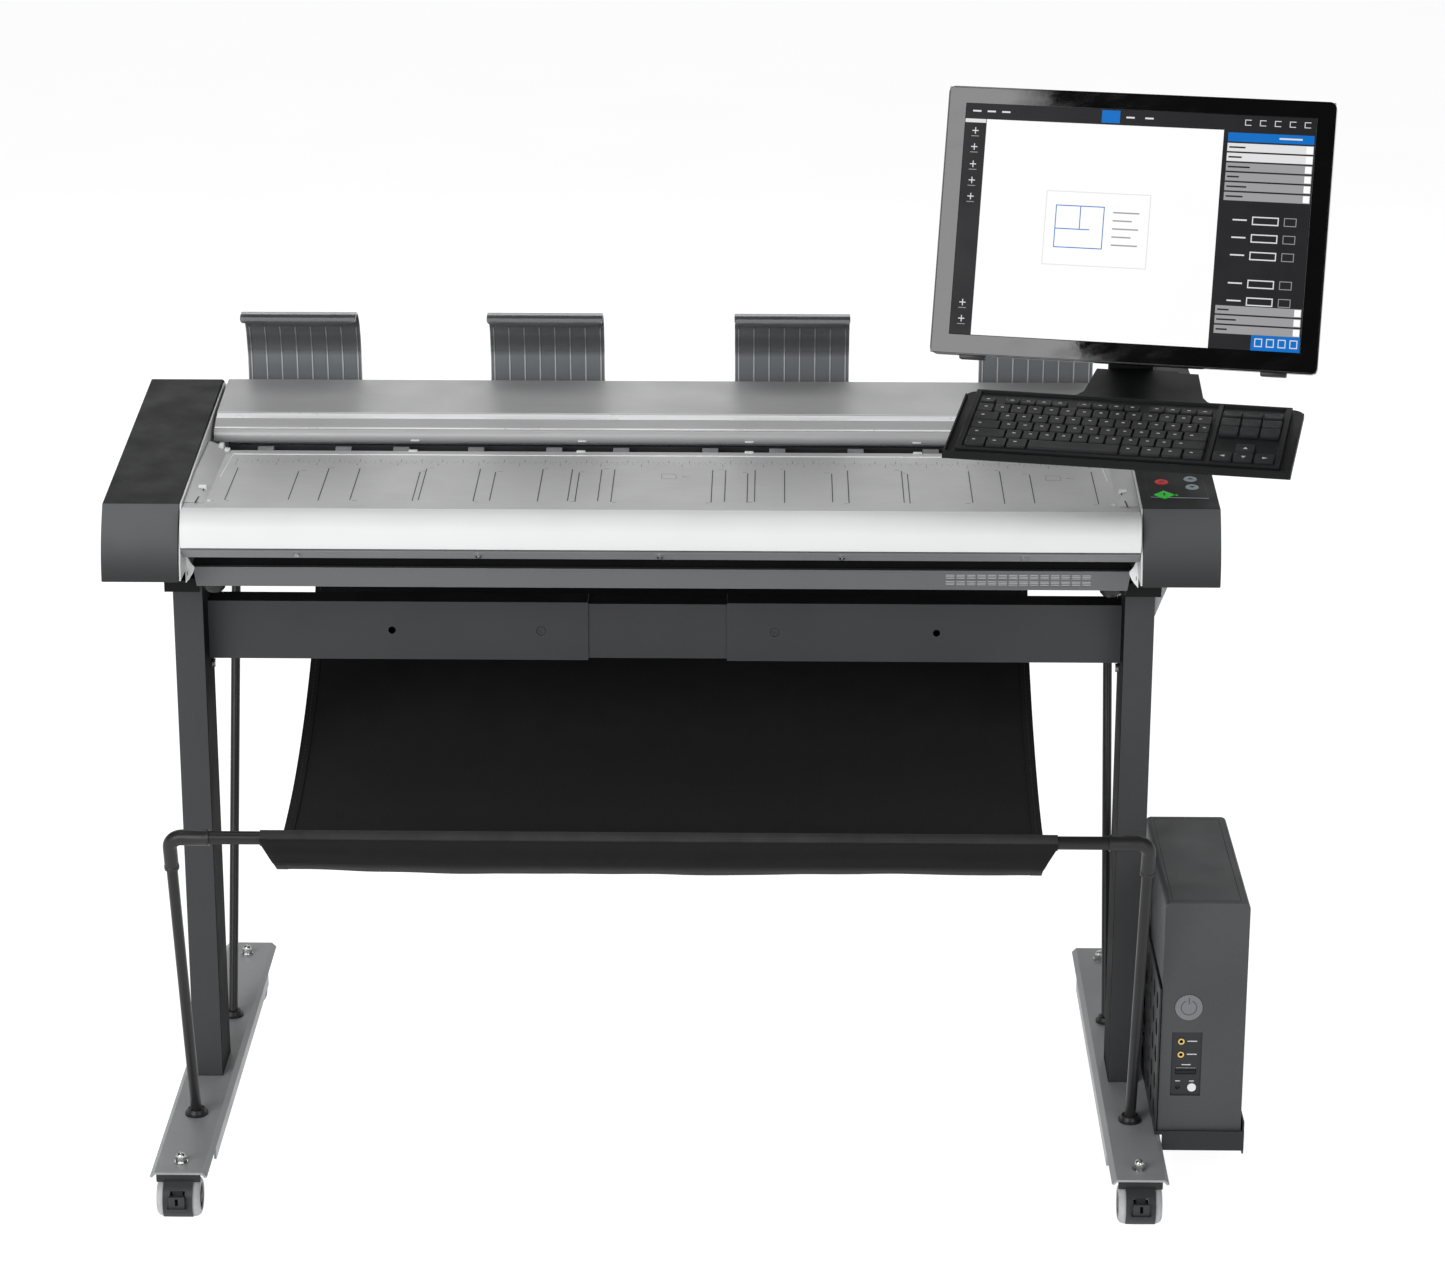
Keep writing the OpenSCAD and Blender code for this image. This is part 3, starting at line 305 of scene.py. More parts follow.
DULL = {"Specular IOR Level": 0.22}
GREY_WORN = (0.12, 0.12, 0.125)
DARK_WORN = (0.09, 0.09, 0.095)
STAND = paint("stand_paint", (0.042, 0.043, 0.045), 0.5, GREY_WORN, sockets=DULL)
# painted shade: a near-black copy of the stand paint for the columns' inward faces and the beam's top,
# which lie in shade
PAINTED_SHADE = paint("painted_shade_faces", (0.01, 0.01, 0.011), 0.7, (0.05, 0.05, 0.05),
              sockets={"Specular IOR Level": 0.04})
FOOT = paint("foot_paint", (0.3, 0.307, 0.313), 0.42, (0.5, 0.51, 0.52), 0.45)
ARM = paint("arm_paint", (0.006, 0.0063, 0.0066), 0.5, (0.05, 0.05, 0.052),
            sockets={"Specular IOR Level": 0.12})
PC = paint("case_paint", (0.06, 0.062, 0.065), 0.5, GREY_WORN, peel=0.3, sockets=DULL)
HOLDER = paint("holder_paint", (0.022, 0.023, 0.025), 0.4, DARK_WORN, sockets=DULL)
PORTS = moulded("port_panel", (0.022, 0.023, 0.025), 0.5, 0.2)
PANEL = paint("panel_paint", (0.088, 0.092, 0.096), 0.36, (0.5, 0.5, 0.51), peel=0.08)
REAR = paint("rear_paint", (0.17, 0.175, 0.18), 0.42, (0.36, 0.36, 0.37))
ROD = paint("rod_paint", (0.018, 0.018, 0.019), 0.32, (0.08, 0.08, 0.08), peel=0.1, sockets=DULL)
TABLE = brushed("table_silver", (0.45, 0.45, 0.456), (0.03, 1, 1), 0.42, 0.12, 0.03)
LID = brushed("lid_silver", (0.44, 0.44, 0.446), (0.02, 1, 1), 0.42, 0.15, 0.03)
TRIM = brushed("trim_silver", (0.94, 0.94, 0.95), (0.02, 1, 1), 0.3, 0.1, 0.03)
WHITE = moulded("white_plastic", (0.7, 0.705, 0.705), 0.4, 0.06)
# painted shade: the nose's white darkens towards its lower edge
NOSE = moulded("nose_white", (0.68, 0.684, 0.684), 0.42, 0.04, fade=(0.79, 0.85, 0.93))
CAP = moulded("cap_charcoal", (0.015, 0.0155, 0.016), 0.55, 0.2, 1100.0, {"Specular IOR Level": 0.12})
# painted shade: the cap's front charcoal darkens towards its lower edge, to about a quarter of its tone
CAP_FRONT = moulded("cap_front_charcoal", (0.095, 0.097, 0.101), 0.5, 0.3, 1100.0,
                    {"Specular IOR Level": 0.2}, (0.765, 0.85, 0.26))
BLACK = moulded("inner_black", (0.008, 0.008, 0.009), 0.55, 0.2)
DEEP = moulded("recess_black", (0.0022, 0.0022, 0.0024), 0.7, 0.1, sockets={"Specular IOR Level": 0.08})
FITTING = moulded("fitting_black", (0.018, 0.018, 0.019), 0.4, 0.2)
HOOD = moulded("caster_black", (0.032, 0.033, 0.035), 0.48, 0.3)
TYRE = rubber("tyre_grey", (0.42, 0.43, 0.44))
ROLLER = rubber("roller_rubber", (0.2, 0.2, 0.205), 0.3)
BELT = rubber("belt_rubber", (0.02, 0.02, 0.021), 0.5)
ZINC = brushed("zinc", (0.6, 0.61, 0.6), (1, 1, 1), 0.26, 1.0, 0.1)
STEEL = brushed("steel", (0.5, 0.5, 0.51), (0.05, 1, 1), 0.3, 1.0, 0.15)
CAMERA = brushed("black_anodised", (0.06, 0.06, 0.063), (0.05, 1, 1), 0.42, 0.7, 0.1)
GOLD = brushed("jack_gold", (0.8, 0.56, 0.2), (1, 1, 1), 0.25, 1.0, 0.05)
CLOTH = weave("basket_cloth", (0.0078, 0.0078, 0.0084))
# painted highlight: a lighter copy of the basket cloth for the pocket round the front rod
POCKET_HIGHLIGHT = weave("pocket_cloth_painted_highlight", (0.032, 0.032, 0.033))
THREAD = weave("seam_thread", (0.03, 0.03, 0.032))
SMOKE = smoke("smoke_plastic", (0.05, 0.054, 0.058))
# painted highlight: a lighter copy of the smoke plastic for the guides' ribs and side edges
RIB_HIGHLIGHT = smoke("smoke_rib_painted_highlight", (0.16, 0.165, 0.17))
BEZEL = gloss("monitor_black", (0.0012, 0.0012, 0.0013), 0.02,
              {"Coat Weight": 0.0, "Specular IOR Level": 0.5})
KEY = moulded("key_black", (0.012, 0.0125, 0.0135), 0.48, 0.2, 1300.0, {"Specular IOR Level": 0.2})
KEYBOARD = moulded("keyboard_black", (0.008, 0.0085, 0.0092), 0.55, 0.25, 1200.0,
                   {"Specular IOR Level": 0.15})
MARK = moulded("printed_mark", (0.03, 0.03, 0.032), 0.5, 0.1)
FAINT = moulded("faint_mark", (0.2, 0.2, 0.205), 0.5, 0.1)
LEGEND = moulded("key_print", (0.55, 0.55, 0.56), 0.5, 0.1)
RED = moulded("button_red", (0.85, 0.02, 0.022), 0.5, 0.05)
GREEN = moulded("button_green", (0.015, 0.8, 0.03), 0.5, 0.05)
OVAL = moulded("button_grey", (0.34, 0.41, 0.46), 0.5, 0.05)
BUTTON = paint("pc_button", (0.15, 0.155, 0.165), 0.36, (0.4, 0.4, 0.41))
BOARD = moulded("solder_mask", (0.012, 0.13, 0.055), 0.35, 0.15, 500.0)
GLASS = gloss("scan_glass", (0.5, 0.56, 0.58), 0.05, {"Alpha": 0.35, "IOR": 1.5})
UI_DARK = lit("display_dark", (0.02, 0.02, 0.022), 0.9)
UI_WHITE = lit("display_white", (1.0, 1.0, 1.0), 0.95)
UI_GREY = lit("display_grey", (0.36, 0.36, 0.37), 0.9)
UI_PALE = lit("display_pale", (0.8, 0.8, 0.81), 0.9)
UI_BLUE = lit("display_blue", (0.005, 0.16, 0.56), 0.95)


# ---------------------------------------------------------------- mesh tools
def piece(name, bm, mats, body="root", replaces=(), smooth=34, weighted=False):
    """Turns a mesh written in millimetres into an object that rides on a body."""
    bmesh.ops.recalc_face_normals(bm, faces=bm.faces)
    bm.transform(TO_FRAME)
    mesh = bpy.data.meshes.new(name)
    bm.to_mesh(mesh)
    bm.free()
    for mat in mats if isinstance(mats, (list, tuple)) else [mats]:
        mesh.materials.append(mat)
    mesh.polygons.foreach_set("use_smooth", [True] * len(mesh.polygons))
    mesh.set_sharp_from_angle(angle=math.radians(smooth))
    made = bpy.data.objects.new(name, mesh)
    bpy.context.scene.collection.objects.link(made)
    if weighted:
        made.modifiers.new("even_normals", "WEIGHTED_NORMAL").keep_sharp = True
    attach(made, body)
    if replaces:
        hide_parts(*replaces)
    return made


BODY_OF = {node: body for body, nodes in frame["record"]["behaviour"]["bodies"].items() for node in nodes}


def rounded(node, mats, width, fine=None, fine_width=0.3, segments=2, pick=None, shaped=None):
    """A copy of a CAD node with its sharp edges rounded. fine(point) says which edges take fine_width
    instead, pick(point, normal) which material a face takes, and shaped(bm) may work on it first."""
    source = frame["nodes"][node].data
    bm = bmesh.new()
    verts = [bm.verts.new(TO_MM @ v.co) for v in source.vertices]
    for polygon in source.polygons:
        try:
            bm.faces.new([verts[i] for i in polygon.vertices])
        except ValueError:
            continue
    bmesh.ops.remove_doubles(bm, verts=bm.verts, dist=0.003)
    bmesh.ops.dissolve_degenerate(bm, edges=bm.edges, dist=0.001)
    bmesh.ops.dissolve_limit(bm, angle_limit=math.radians(0.5), verts=bm.verts, edges=bm.edges)
    if shaped:
        shaped(bm)

    def sharp_edges():
        return [e for e in bm.edges if len(e.link_faces) == 2 and e.calc_face_angle() > math.radians(38)]

    chosen = sharp_edges()
    small = [e for e in chosen if fine and fine((e.verts[0].co + e.verts[1].co) / 2)]
    large = [e for e in chosen if e not in set(small)]
    for edges, offset, steps in ((small, fine_width, 1), (large, width, segments)):
        edges = [e for e in edges if e.is_valid]
        if edges and offset:
            bmesh.ops.bevel(bm, geom=edges, offset=offset, offset_type="OFFSET", segments=steps,
                            profile=0.5, affect="EDGES", clamp_overlap=True)
    if pick:
        bm.normal_update()
        for face in bm.faces:
            face.material_index = pick(face.calc_center_median(), face.normal)
    return piece(node + "_finished", bm, mats, BODY_OF[node], [node], weighted=True)


def prism(bm, ring, push, material=0):
    """A closed ring of points pushed along a vector."""
    ring = [Vector(p) for p in ring]
    push = Vector(push)
    a = [bm.verts.new(p) for p in ring]
    b = [bm.verts.new(p + push) for p in ring]
    n = len(ring)
    faces = [bm.faces.new(list(reversed(a))), bm.faces.new(b)]
    faces += [bm.faces.new((a[i], a[(i + 1) % n], b[(i + 1) % n], b[i])) for i in range(n)]
    for face in faces:
        face.material_index = material
    return faces


def block(bm, lo, hi, r=0.0, steps=2, material=0, place=None):
    """A box with rounded edges, in the given frame."""
    lo, hi = Vector(lo), Vector(hi)
    made = bmesh.ops.create_cube(bm, size=1.0)["verts"]
    for v in made:
        v.co = Vector(((v.co[i] + 0.5) * (hi[i] - lo[i]) + lo[i]) for i in range(3))
    faces = {f for v in made for f in v.link_faces}
    if r:
        edges = list({e for v in made for e in v.link_edges})
        made = bmesh.ops.bevel(bm, geom=edges, offset=r, offset_type="OFFSET", segments=steps,
                               profile=0.5, affect="EDGES")["verts"]
        faces = {f for v in made for f in v.link_faces}
    for face in faces:
        face.material_index = material
    if place is not None:
        for v in made:
            v.co = place @ v.co
    return made


def ring_of(r, n):
    """The points of a circle."""
    return [(r * math.cos(2 * math.pi * i / n), r * math.sin(2 * math.pi * i / n)) for i in range(n)]


def lathe(bm, profile, centre, axis, n=40, material=0, closed=False):
    """Pairs of (radius, height) turned about an axis through the centre. A closed profile is a ring."""
    turn = Vector((0, 0, 1)).rotation_difference(Vector(axis)).to_matrix().to_4x4()
    place = Matrix.Translation(Vector(centre)) @ turn
    rings = []
    for r, h in profile:
        if r < 1e-6:
            rings.append([bm.verts.new(place @ Vector((0, 0, h)))])
            continue
        rings.append([bm.verts.new(place @ Vector((x, y, h))) for x, y in ring_of(r, n)])
    pairs = list(zip(rings, rings[1:] + rings[:1])) if closed else list(zip(rings, rings[1:]))
    for a, b in pairs:
        for i in range(n):
            j = (i + 1) % n
            quad = [a[i % len(a)], a[j % len(a)], b[j % len(b)], b[i % len(b)]]
            corners = list(dict.fromkeys(quad))
            if len(corners) > 2:
                bm.faces.new(corners).material_index = material


def sweep(bm, path, radii, n=20, material=0):
    """A round bar along a path of points, with a radius for each point and closed ends."""
    path = [Vector(p) for p in path]
    rings = []
    for i, (p, r) in enumerate(zip(path, radii)):
        ahead = (path[min(i + 1, len(path) - 1)] - path[max(i - 1, 0)]).normalized()
        side = ahead.cross(Vector((0.31, 0.57, 0.76))).normalized()
        up = ahead.cross(side)
        rings.append([bm.verts.new(p + a * side + b * up) for a, b in ring_of(r, n)])
    for a, b in zip(rings, rings[1:]):
        for k in range(n):
            bm.faces.new((a[k], a[(k + 1) % n], b[(k + 1) % n], b[k])).material_index = material
    bm.faces.new(list(reversed(rings[0]))).material_index = material
    bm.faces.new(rings[-1]).material_index = material


def bar(bm, a, b, width, thick, up, material=0):
    """A thin flat bar from a to b, lying on a surface whose normal is up."""
    a, b, up = Vector(a), Vector(b), Vector(up).normalized()
    side = (b - a).cross(up).normalized() * width / 2
    prism(bm, [a - side, b - side, b + side, a + side], up * thick, material)


def smooth_line(keys, steps):
    """A Catmull-Rom curve through the keys."""
    keys = [Vector(k) for k in keys]
    out = []
    for i in range(len(keys) - 1):
        a, b, c, d = keys[max(i - 1, 0)], keys[i], keys[i + 1], keys[min(i + 2, len(keys) - 1)]
        for j in range(steps):
            t = j / steps
            out.append(0.5 * (2 * b + (c - a) * t + (2 * a - 5 * b + 4 * c - d) * t * t
                              + (3 * b - a - 3 * c + d) * t ** 3))
    return out + [keys[-1]]


def lengths(line):
    total = [0.0]
    for a, b in zip(line, line[1:]):
        total.append(total[-1] + (b - a).length)
    return total


def along(line, total, s):
    """The point at a length s along a line."""
    s = max(0.0, min(total[-1], s))
    for i in range(len(line) - 1):
        if s <= total[i + 1] or i == len(line) - 2:
            span = max(1e-9, total[i + 1] - total[i])
            return line[i].lerp(line[i + 1], (s - total[i]) / span)


def paint_node(node, mat):
    """A CAD node that stays as it is takes a finished material."""
    data = frame["nodes"][node].data
    data.materials.clear()
    data.materials.append(mat)


# ---------------------------------------------------------------- camera
LENS_PX = 4032.23
PHOTO_W = 1445
PHOTO_H = 1277
CENTRE_PX = (708.51, 637.31)
camera = bpy.data.objects.new("camera", bpy.data.cameras.new("camera"))
bpy.context.scene.collection.objects.link(camera)
camera.data.sensor_width = 36
camera.data.lens = LENS_PX * 36 / PHOTO_W
camera.data.shift_x = (PHOTO_W / 2 - CENTRE_PX[0]) / PHOTO_W
camera.data.shift_y = (CENTRE_PX[1] - PHOTO_H / 2) / PHOTO_W
camera.data.clip_end = 60
camera.location = TO_FRAME @ Vector((136.41, -4688.0, 2246.34))
camera.rotation_euler = (math.pi / 2 - 0.3269, 0, 0.0172)
bpy.context.scene.camera = camera


# ---------------------------------------------------------------- stand
def make_stand():
    for side in ("left", "right"):
        rounded("foot_" + side, FOOT, 1.2)
        # painted shade: the faces that turn inward to the other column take the dark shade copy of the
        # paint
        rounded("column_" + side, [STAND, PAINTED_SHADE], 1.6, segments=3,
                pick=lambda p, n: 1 if n.x * p.x < 0 and abs(n.x) > 0.7 else 0)
        # painted shade: the top faces of the beam's sleeves and middle take the dark shade copy of the
        # paint
        rounded("crossbeam_sleeve_" + side, [STAND, PAINTED_SHADE], 1.2, fine=lambda p: p.y > 38.5, pick=painted_shade_on_top)
    rounded("crossbeam_center", [STAND, PAINTED_SHADE], 0.8, fine=lambda p: abs(p.x) < 290, pick=painted_shade_on_top)
    # painted shade: the saddle plates take the near-black arm paint, as they lie in the end caps' shadow
    rounded("saddle_plates", ARM, 0.8)
    rounded("rod_grommets", FITTING, 0.4)
    rounded("basket_rods_front", ROD, 0.5)
    rounded("basket_rod_cross", ROD, 0.5)
    rounded("basket_rod_rear", ROD, 0.5)
    rounded("screws_and_nuts", [ZINC, FITTING, STAND], 0.25, segments=1, pick=metal)


# Painted shade: faces that look up take the dark shade copy of the paint.
def painted_shade_on_top(point, normal):
    return 1 if normal.z > 0.9 else 0


def metal(point, normal):
    if abs(point.x) > 525 and point.z > 725:
        return 1
    return 2 if abs(point.x) < 300 and 600 < point.z < 700 else 0


def make_elbows():
    """Moulded elbows with a swept bend and a thicker rim at each mouth."""
    bm = bmesh.new()
    corner = Vector((middle("foot_right").x, middle("basket_rod_cross").y, middle("basket_rod_cross").z))
    up = (corner - Vector((corner.x, -111, 61))).normalized()
    bend = 15
    for side in (-1, 1):
        out = Vector((side, 0, 0))
        top = Vector((side * corner.x, corner.y, corner.z))
        path = [top - up * 46, top - up * 42, top - up * 41.4]
        radii = [9.1, 9.1, 8.5]
        steps = 10
        for i in range(steps + 1):
            angle = math.pi / 2 * i / steps
            turn = math.cos(angle) * out + math.sin(angle) * up
            path.append(top + bend * (turn - up - out))
            radii.append(8.5 + 1.1 * i / steps)
        path += [top - out * 43.4, top - out * 44, top - out * 48]
        radii += [9.6, 10.0, 10.0]
        sweep(bm, path, radii, 28)
    piece("elbow_mouldings", bm, FITTING, replaces=["basket_elbows"], smooth=40)


def make_foot_caps():
    """Plastic plugs that close the ends of the two feet, just inside them."""
    bm = bmesh.new()
    half, inset, thick = 27, 0.5, 3
    for side in (-1, 1):
        x = side * middle("foot_right").x
        for y in (low("foot_left").y + inset, high("foot_left").y - inset - thick):
            block(bm, (x - half, y, 48), (x + half, y + thick, 57.6), 0.8)
    piece("foot_end_plugs", bm, FITTING)


# ---------------------------------------------------------------- basket fabric
FABRIC_KEYS = ((-238, 474), (-236, 451), (-222, 438), (-200, 428), (-150, 416), (-100, 411),
               (-40, 413), (40, 424), (120, 444), (200, 473), (260, 502), (300, 526), (340, 560),
               (368, 595), (385, 634))


def pocket(centre, r, start, turn, steps):
    """An arc of the sheet round a rod."""
    return [Vector((centre[0] + r * math.cos(start + turn * i / steps),
                    centre[1] + r * math.sin(start + turn * i / steps))) for i in range(steps + 1)]


def eased(t):
    """0 to 1 with a soft start and end."""
    t = max(0.0, min(1.0, t))
    return t * t * (3 - 2 * t)


def make_fabric():
    front = middle("basket_rod_cross")
    half = (high("basket_fabric").x - low("basket_fabric").x) / 2 - 8
    rear = (high("basket_rod_rear").y - REAR_R - 1.5, high("basket_rod_rear").z - REAR_R - 1.5)
    body = smooth_line(FABRIC_KEYS, 5)[1:-1]
    line = (pocket((front.y, front.z), ROD_R + 1.6, math.radians(250), math.radians(-410), 22)
            + body[4:] + pocket(rear, REAR_R + 1.6, math.radians(205), math.radians(-395), 20))
    total = lengths(line)
    across = 96
    seam_a, seam_b = total[22] + 14, total[-21] - 14
    bm = bmesh.new()
    rows = []
    for i, p in enumerate(line):
        tangent = (line[min(i + 1, len(line) - 1)] - line[max(i - 1, 0)]).normalized()
        up = Vector((-tangent.y, tangent.x))
        s = total[i]
        free = max(0.0, min(1.0, (s - seam_a) / 60)) * max(0.0, min(1.0, (seam_b - s) / 60))
        pucker = math.exp(-abs(s - seam_a) / 22) + math.exp(-abs(s - seam_b) / 22)
        on_rod = i <= 22 or i >= len(line) - 21
        row = []
        # the sheet is cut back at the front corners, then widens again towards the rear rod
        cut = 17 * eased((s - total[22]) / 34) - 13 * eased((s - total[22] - 70) / 130)
        for k in range(across + 1):
            x = (half - cut) * (2 * k / across - 1)
            slack = 3.2 * free * noise.noise(Vector((x / 240, s / 300, 1.3)))
            slack += 1.5 * free * noise.noise(Vector((x / 70 + s / 260, s / 190, 4.1)))
            slack -= 2.6 * free * math.cos(math.pi * x / half / 2) ** 2
            tuck = 0.9 * pucker * noise.noise(Vector((x / 9, s / 40, 7.7)))
            lift = 0.0 if on_rod else slack + tuck
            row.append(bm.verts.new((x, p.x + up.x * lift, p.y + up.y * lift)))
        rows.append(row)
    for i, (a, b) in enumerate(zip(rows, rows[1:])):
        for k in range(across):
            # painted highlight: the rows wrapped round the front rod take the lighter pocket cloth
            bm.faces.new((a[k], a[k + 1], b[k + 1], b[k])).material_index = int(i < 22)
    points = [[v.co.copy() for v in row] for row in rows]
    bmesh.ops.recalc_face_normals(bm, faces=bm.faces)
    bmesh.ops.solidify(bm, geom=bm.faces[:], thickness=1.2)
    cloth = piece("fabric_sheet", bm, [CLOTH, POCKET_HIGHLIGHT], replaces=["basket_fabric"], smooth=60)

    # a folded hem along each side and a row of stitches beside each hem and each pocket
    hems = bmesh.new()
    thread = bmesh.new()
    first, last = 24, len(rows) - 23
    for k, step in ((0, 1), (across, -1)):
        edge = [points[i][k] for i in range(first, last)]
        inner = [points[i][k].lerp(points[i][k + step], 0.8) for i in range(first, last)]
        ahead = [edge[min(j + 1, len(edge) - 1)] - edge[max(j - 1, 0)] for j in range(len(edge))]
        ups = [(b - a).cross(c).normalized() * step for a, b, c in zip(edge, inner, ahead)]
        for level in (-1, 1):
            strip = []
            for a, b, up in zip(edge, inner, ups):
                reach = b.lerp(a, -0.6)
                strip.append([hems.verts.new(q + up * h * level) for q, h in
                              ((a, 0.7), (a, 1.5), (reach, 1.5), (reach, 0.7))])
            for q, r in zip(strip, strip[1:]):
                for j in range(4):
                    hems.faces.new((q[j], q[(j + 1) % 4], r[(j + 1) % 4], r[j]))
            hems.faces.new(strip[0])
            hems.faces.new(list(reversed(strip[-1])))
        seam = [b.lerp(a, 0.12) for a, b in zip(edge, inner)]
        run = lengths(seam)
        for n in range(int(run[-1] / 7)):
            a, b = along(seam, run, n * 7 + 1), along(seam, run, n * 7 + 5)
            j = min(range(len(seam)), key=lambda t: abs(run[t] - n * 7))
            bar(thread, a + ups[j] * 1.45, b + ups[j] * 1.45, 1.0, 0.5, ups[j])
    for index in (25, len(rows) - 24):
        row = points[index]
        beside_row = points[index + 1]
        run = lengths(row)
        for n in range(int(run[-1] / 7)):
            a, b = along(row, run, n * 7 + 1), along(row, run, n * 7 + 5)
            up = (row[1] - row[0]).cross(beside_row[0] - row[0]).normalized()
            for level in (-1, 1):
                bar(thread, a + up * level * 0.62, b + up * level * 0.62, 1.0, 0.45, up * level)
    hem = piece("fabric_hems", hems, CLOTH, smooth=60)
    stitches = piece("fabric_stitches", thread, THREAD)


# ---------------------------------------------------------------- casters
# radius and distance from the wheel's inner face
TYRE_PROFILE = ((17, 1.4), (21, 0.4), (23.6, 1.0), (24.7, 2.6), (25, 5), (25, 9), (24.6, 11.8),
                (23.6, 14.2), (22, 16.2), (19.8, 17.4), (17, 17.4))
HUB_PROFILE = ((0, 1.5), (17.3, 1.5), (17.3, 15.2), (16, 16.2), (14.4, 16.2), (13.2, 14.2),
               (8, 14.2), (7, 16.4), (5.6, 17.4), (0, 17.4))


def make_casters():
    for corner in ("fl", "fr", "rl", "rr"):
        centre = middle("caster_wheels_" + corner)
        tyres, hubs = bmesh.new(), bmesh.new()
        for side in (-1, 1):
            start = centre + Vector((side * 9, 0, 0))
            lathe(tyres, TYRE_PROFILE, start, (side, 0, 0), 56, closed=True)
            lathe(hubs, HUB_PROFILE, start, (side, 0, 0), 48)
            for spoke in range(5):
                angle = 2 * math.pi * spoke / 5
                turn = Matrix.Translation(start) @ Matrix.Rotation(angle, 4, "X")
                x0, x1 = sorted((side * 13.6, side * 16.0))
                block(hubs, (x0, -1.5, 6.5), (x1, 1.5, 14.5), 0.5, 1, place=turn)
        lathe(hubs, ((0, -10.4), (3.8, -10.4), (3.8, 10.4), (0, 10.4)), centre, (1, 0, 0), 24, material=1)
        wheels = "wheels_" + corner
        piece("tyres_" + corner, tyres, TYRE, wheels, ["caster_" + wheels])
        piece("hubs_" + corner, hubs, [HOOD, STEEL], wheels)
        rounded("caster_hood_" + corner, [HOOD, STEEL], 0.7,
                pick=lambda p, n: 1 if p.z > 57.5 else 0)
    for side in ("left", "right"):
        rounded("brake_pedal_" + side, HOOD, 0.7)


# ---------------------------------------------------------------- scanner body
def hole_in_cap(point):
    """Where the buttons' openings are."""
    return CAP_INNER + 6 < point.x < CAP_OUTER - 4 and -80 < point.y < 20 and point.z > 840


def make_body():
    def facing(point, normal):
        return 1 if normal.y < -0.55 and point.y < -80 else 0
    rounded("end_cap_left", [CAP, CAP_FRONT], 2.4, segments=4, pick=facing)
    rounded("end_cap_right", [CAP, CAP_FRONT], 2.4, fine=hole_in_cap, fine_width=0.35, segments=4,
            pick=facing)
    rounded("base_pan", PANEL, 0.7, fine=lambda p: abs(p.x - 423) < 95 and p.z < 767, fine_width=0.2)
    rounded("rear_cover", REAR, 0.9)
    rounded("loading_table", TABLE, 0.35, pick=lambda p, n: 1 if p.z < 812 else 0) \
        .data.materials.append(REAR)
    rounded("table_nose", NOSE, 0.7)
    rounded("inner_side_walls", WHITE, 0.5)
    rounded("side_ramps", TABLE, 0.5)
    rounded("lid", LID, 0.45)
    inside = {"recess_panel": DEEP, "pressure_plate": WHITE, "scan_glass": GLASS, "camera_box": CAMERA,
              "drive_motor": STEEL, "motor_pulley": STEEL, "drive_belt": BELT, "control_board": BOARD}
    for node, mat in inside.items():
        paint_node(node, mat)
    shaft_r, covered = 6.5, 560
    for node in ("infeed_roller", "outfeed_roller"):
        axis = middle(node)

        def sleeve(p, n, a=axis):
            return int(math.hypot(p.y - a.y, p.z - a.z) > shaft_r and abs(p.x) < covered)
        rounded(node, [STEEL, ROLLER], 0.6, pick=sleeve)


def make_lid_trim():
    """Bright inlays along the lid's front: a broad one at the top's edge and a thin one above the nose."""
    half = high("lid").x - 0.6
    bm = bmesh.new()
    for face in (((198.4, 885.45), (194.1, 883.3), (185.2, 881.55)), ((168.6, 874.45), (165.2, 873.75))):
        under = [(y + 0.2, z - 0.55) for y, z in reversed(face)]
        prism(bm, [(-half, y, z) for y, z in list(face) + under], (2 * half, 0, 0))
    piece("lid_inlays", bm, TRIM, "lid")
    # dark gaskets in the joint between the lid's ends and the side walls
    ends = bmesh.new()
    for side in (-1, 1):
        x0, x1 = sorted((side * (half + 0.7), side * (half + 2.2)))
        side_view = ((196, 880), (300, 890), (300, 878), (200, 866))
        prism(ends, [(x0, y, z) for y, z in side_view], (x1 - x0, 0, 0))
    piece("lid_end_gaskets", ends, BLACK, "lid")


PAPER_HALF_WIDTHS = (523, 447, 411, 373, 298, 291, 225, 205.5, 148, 112, 103, 76, 60)


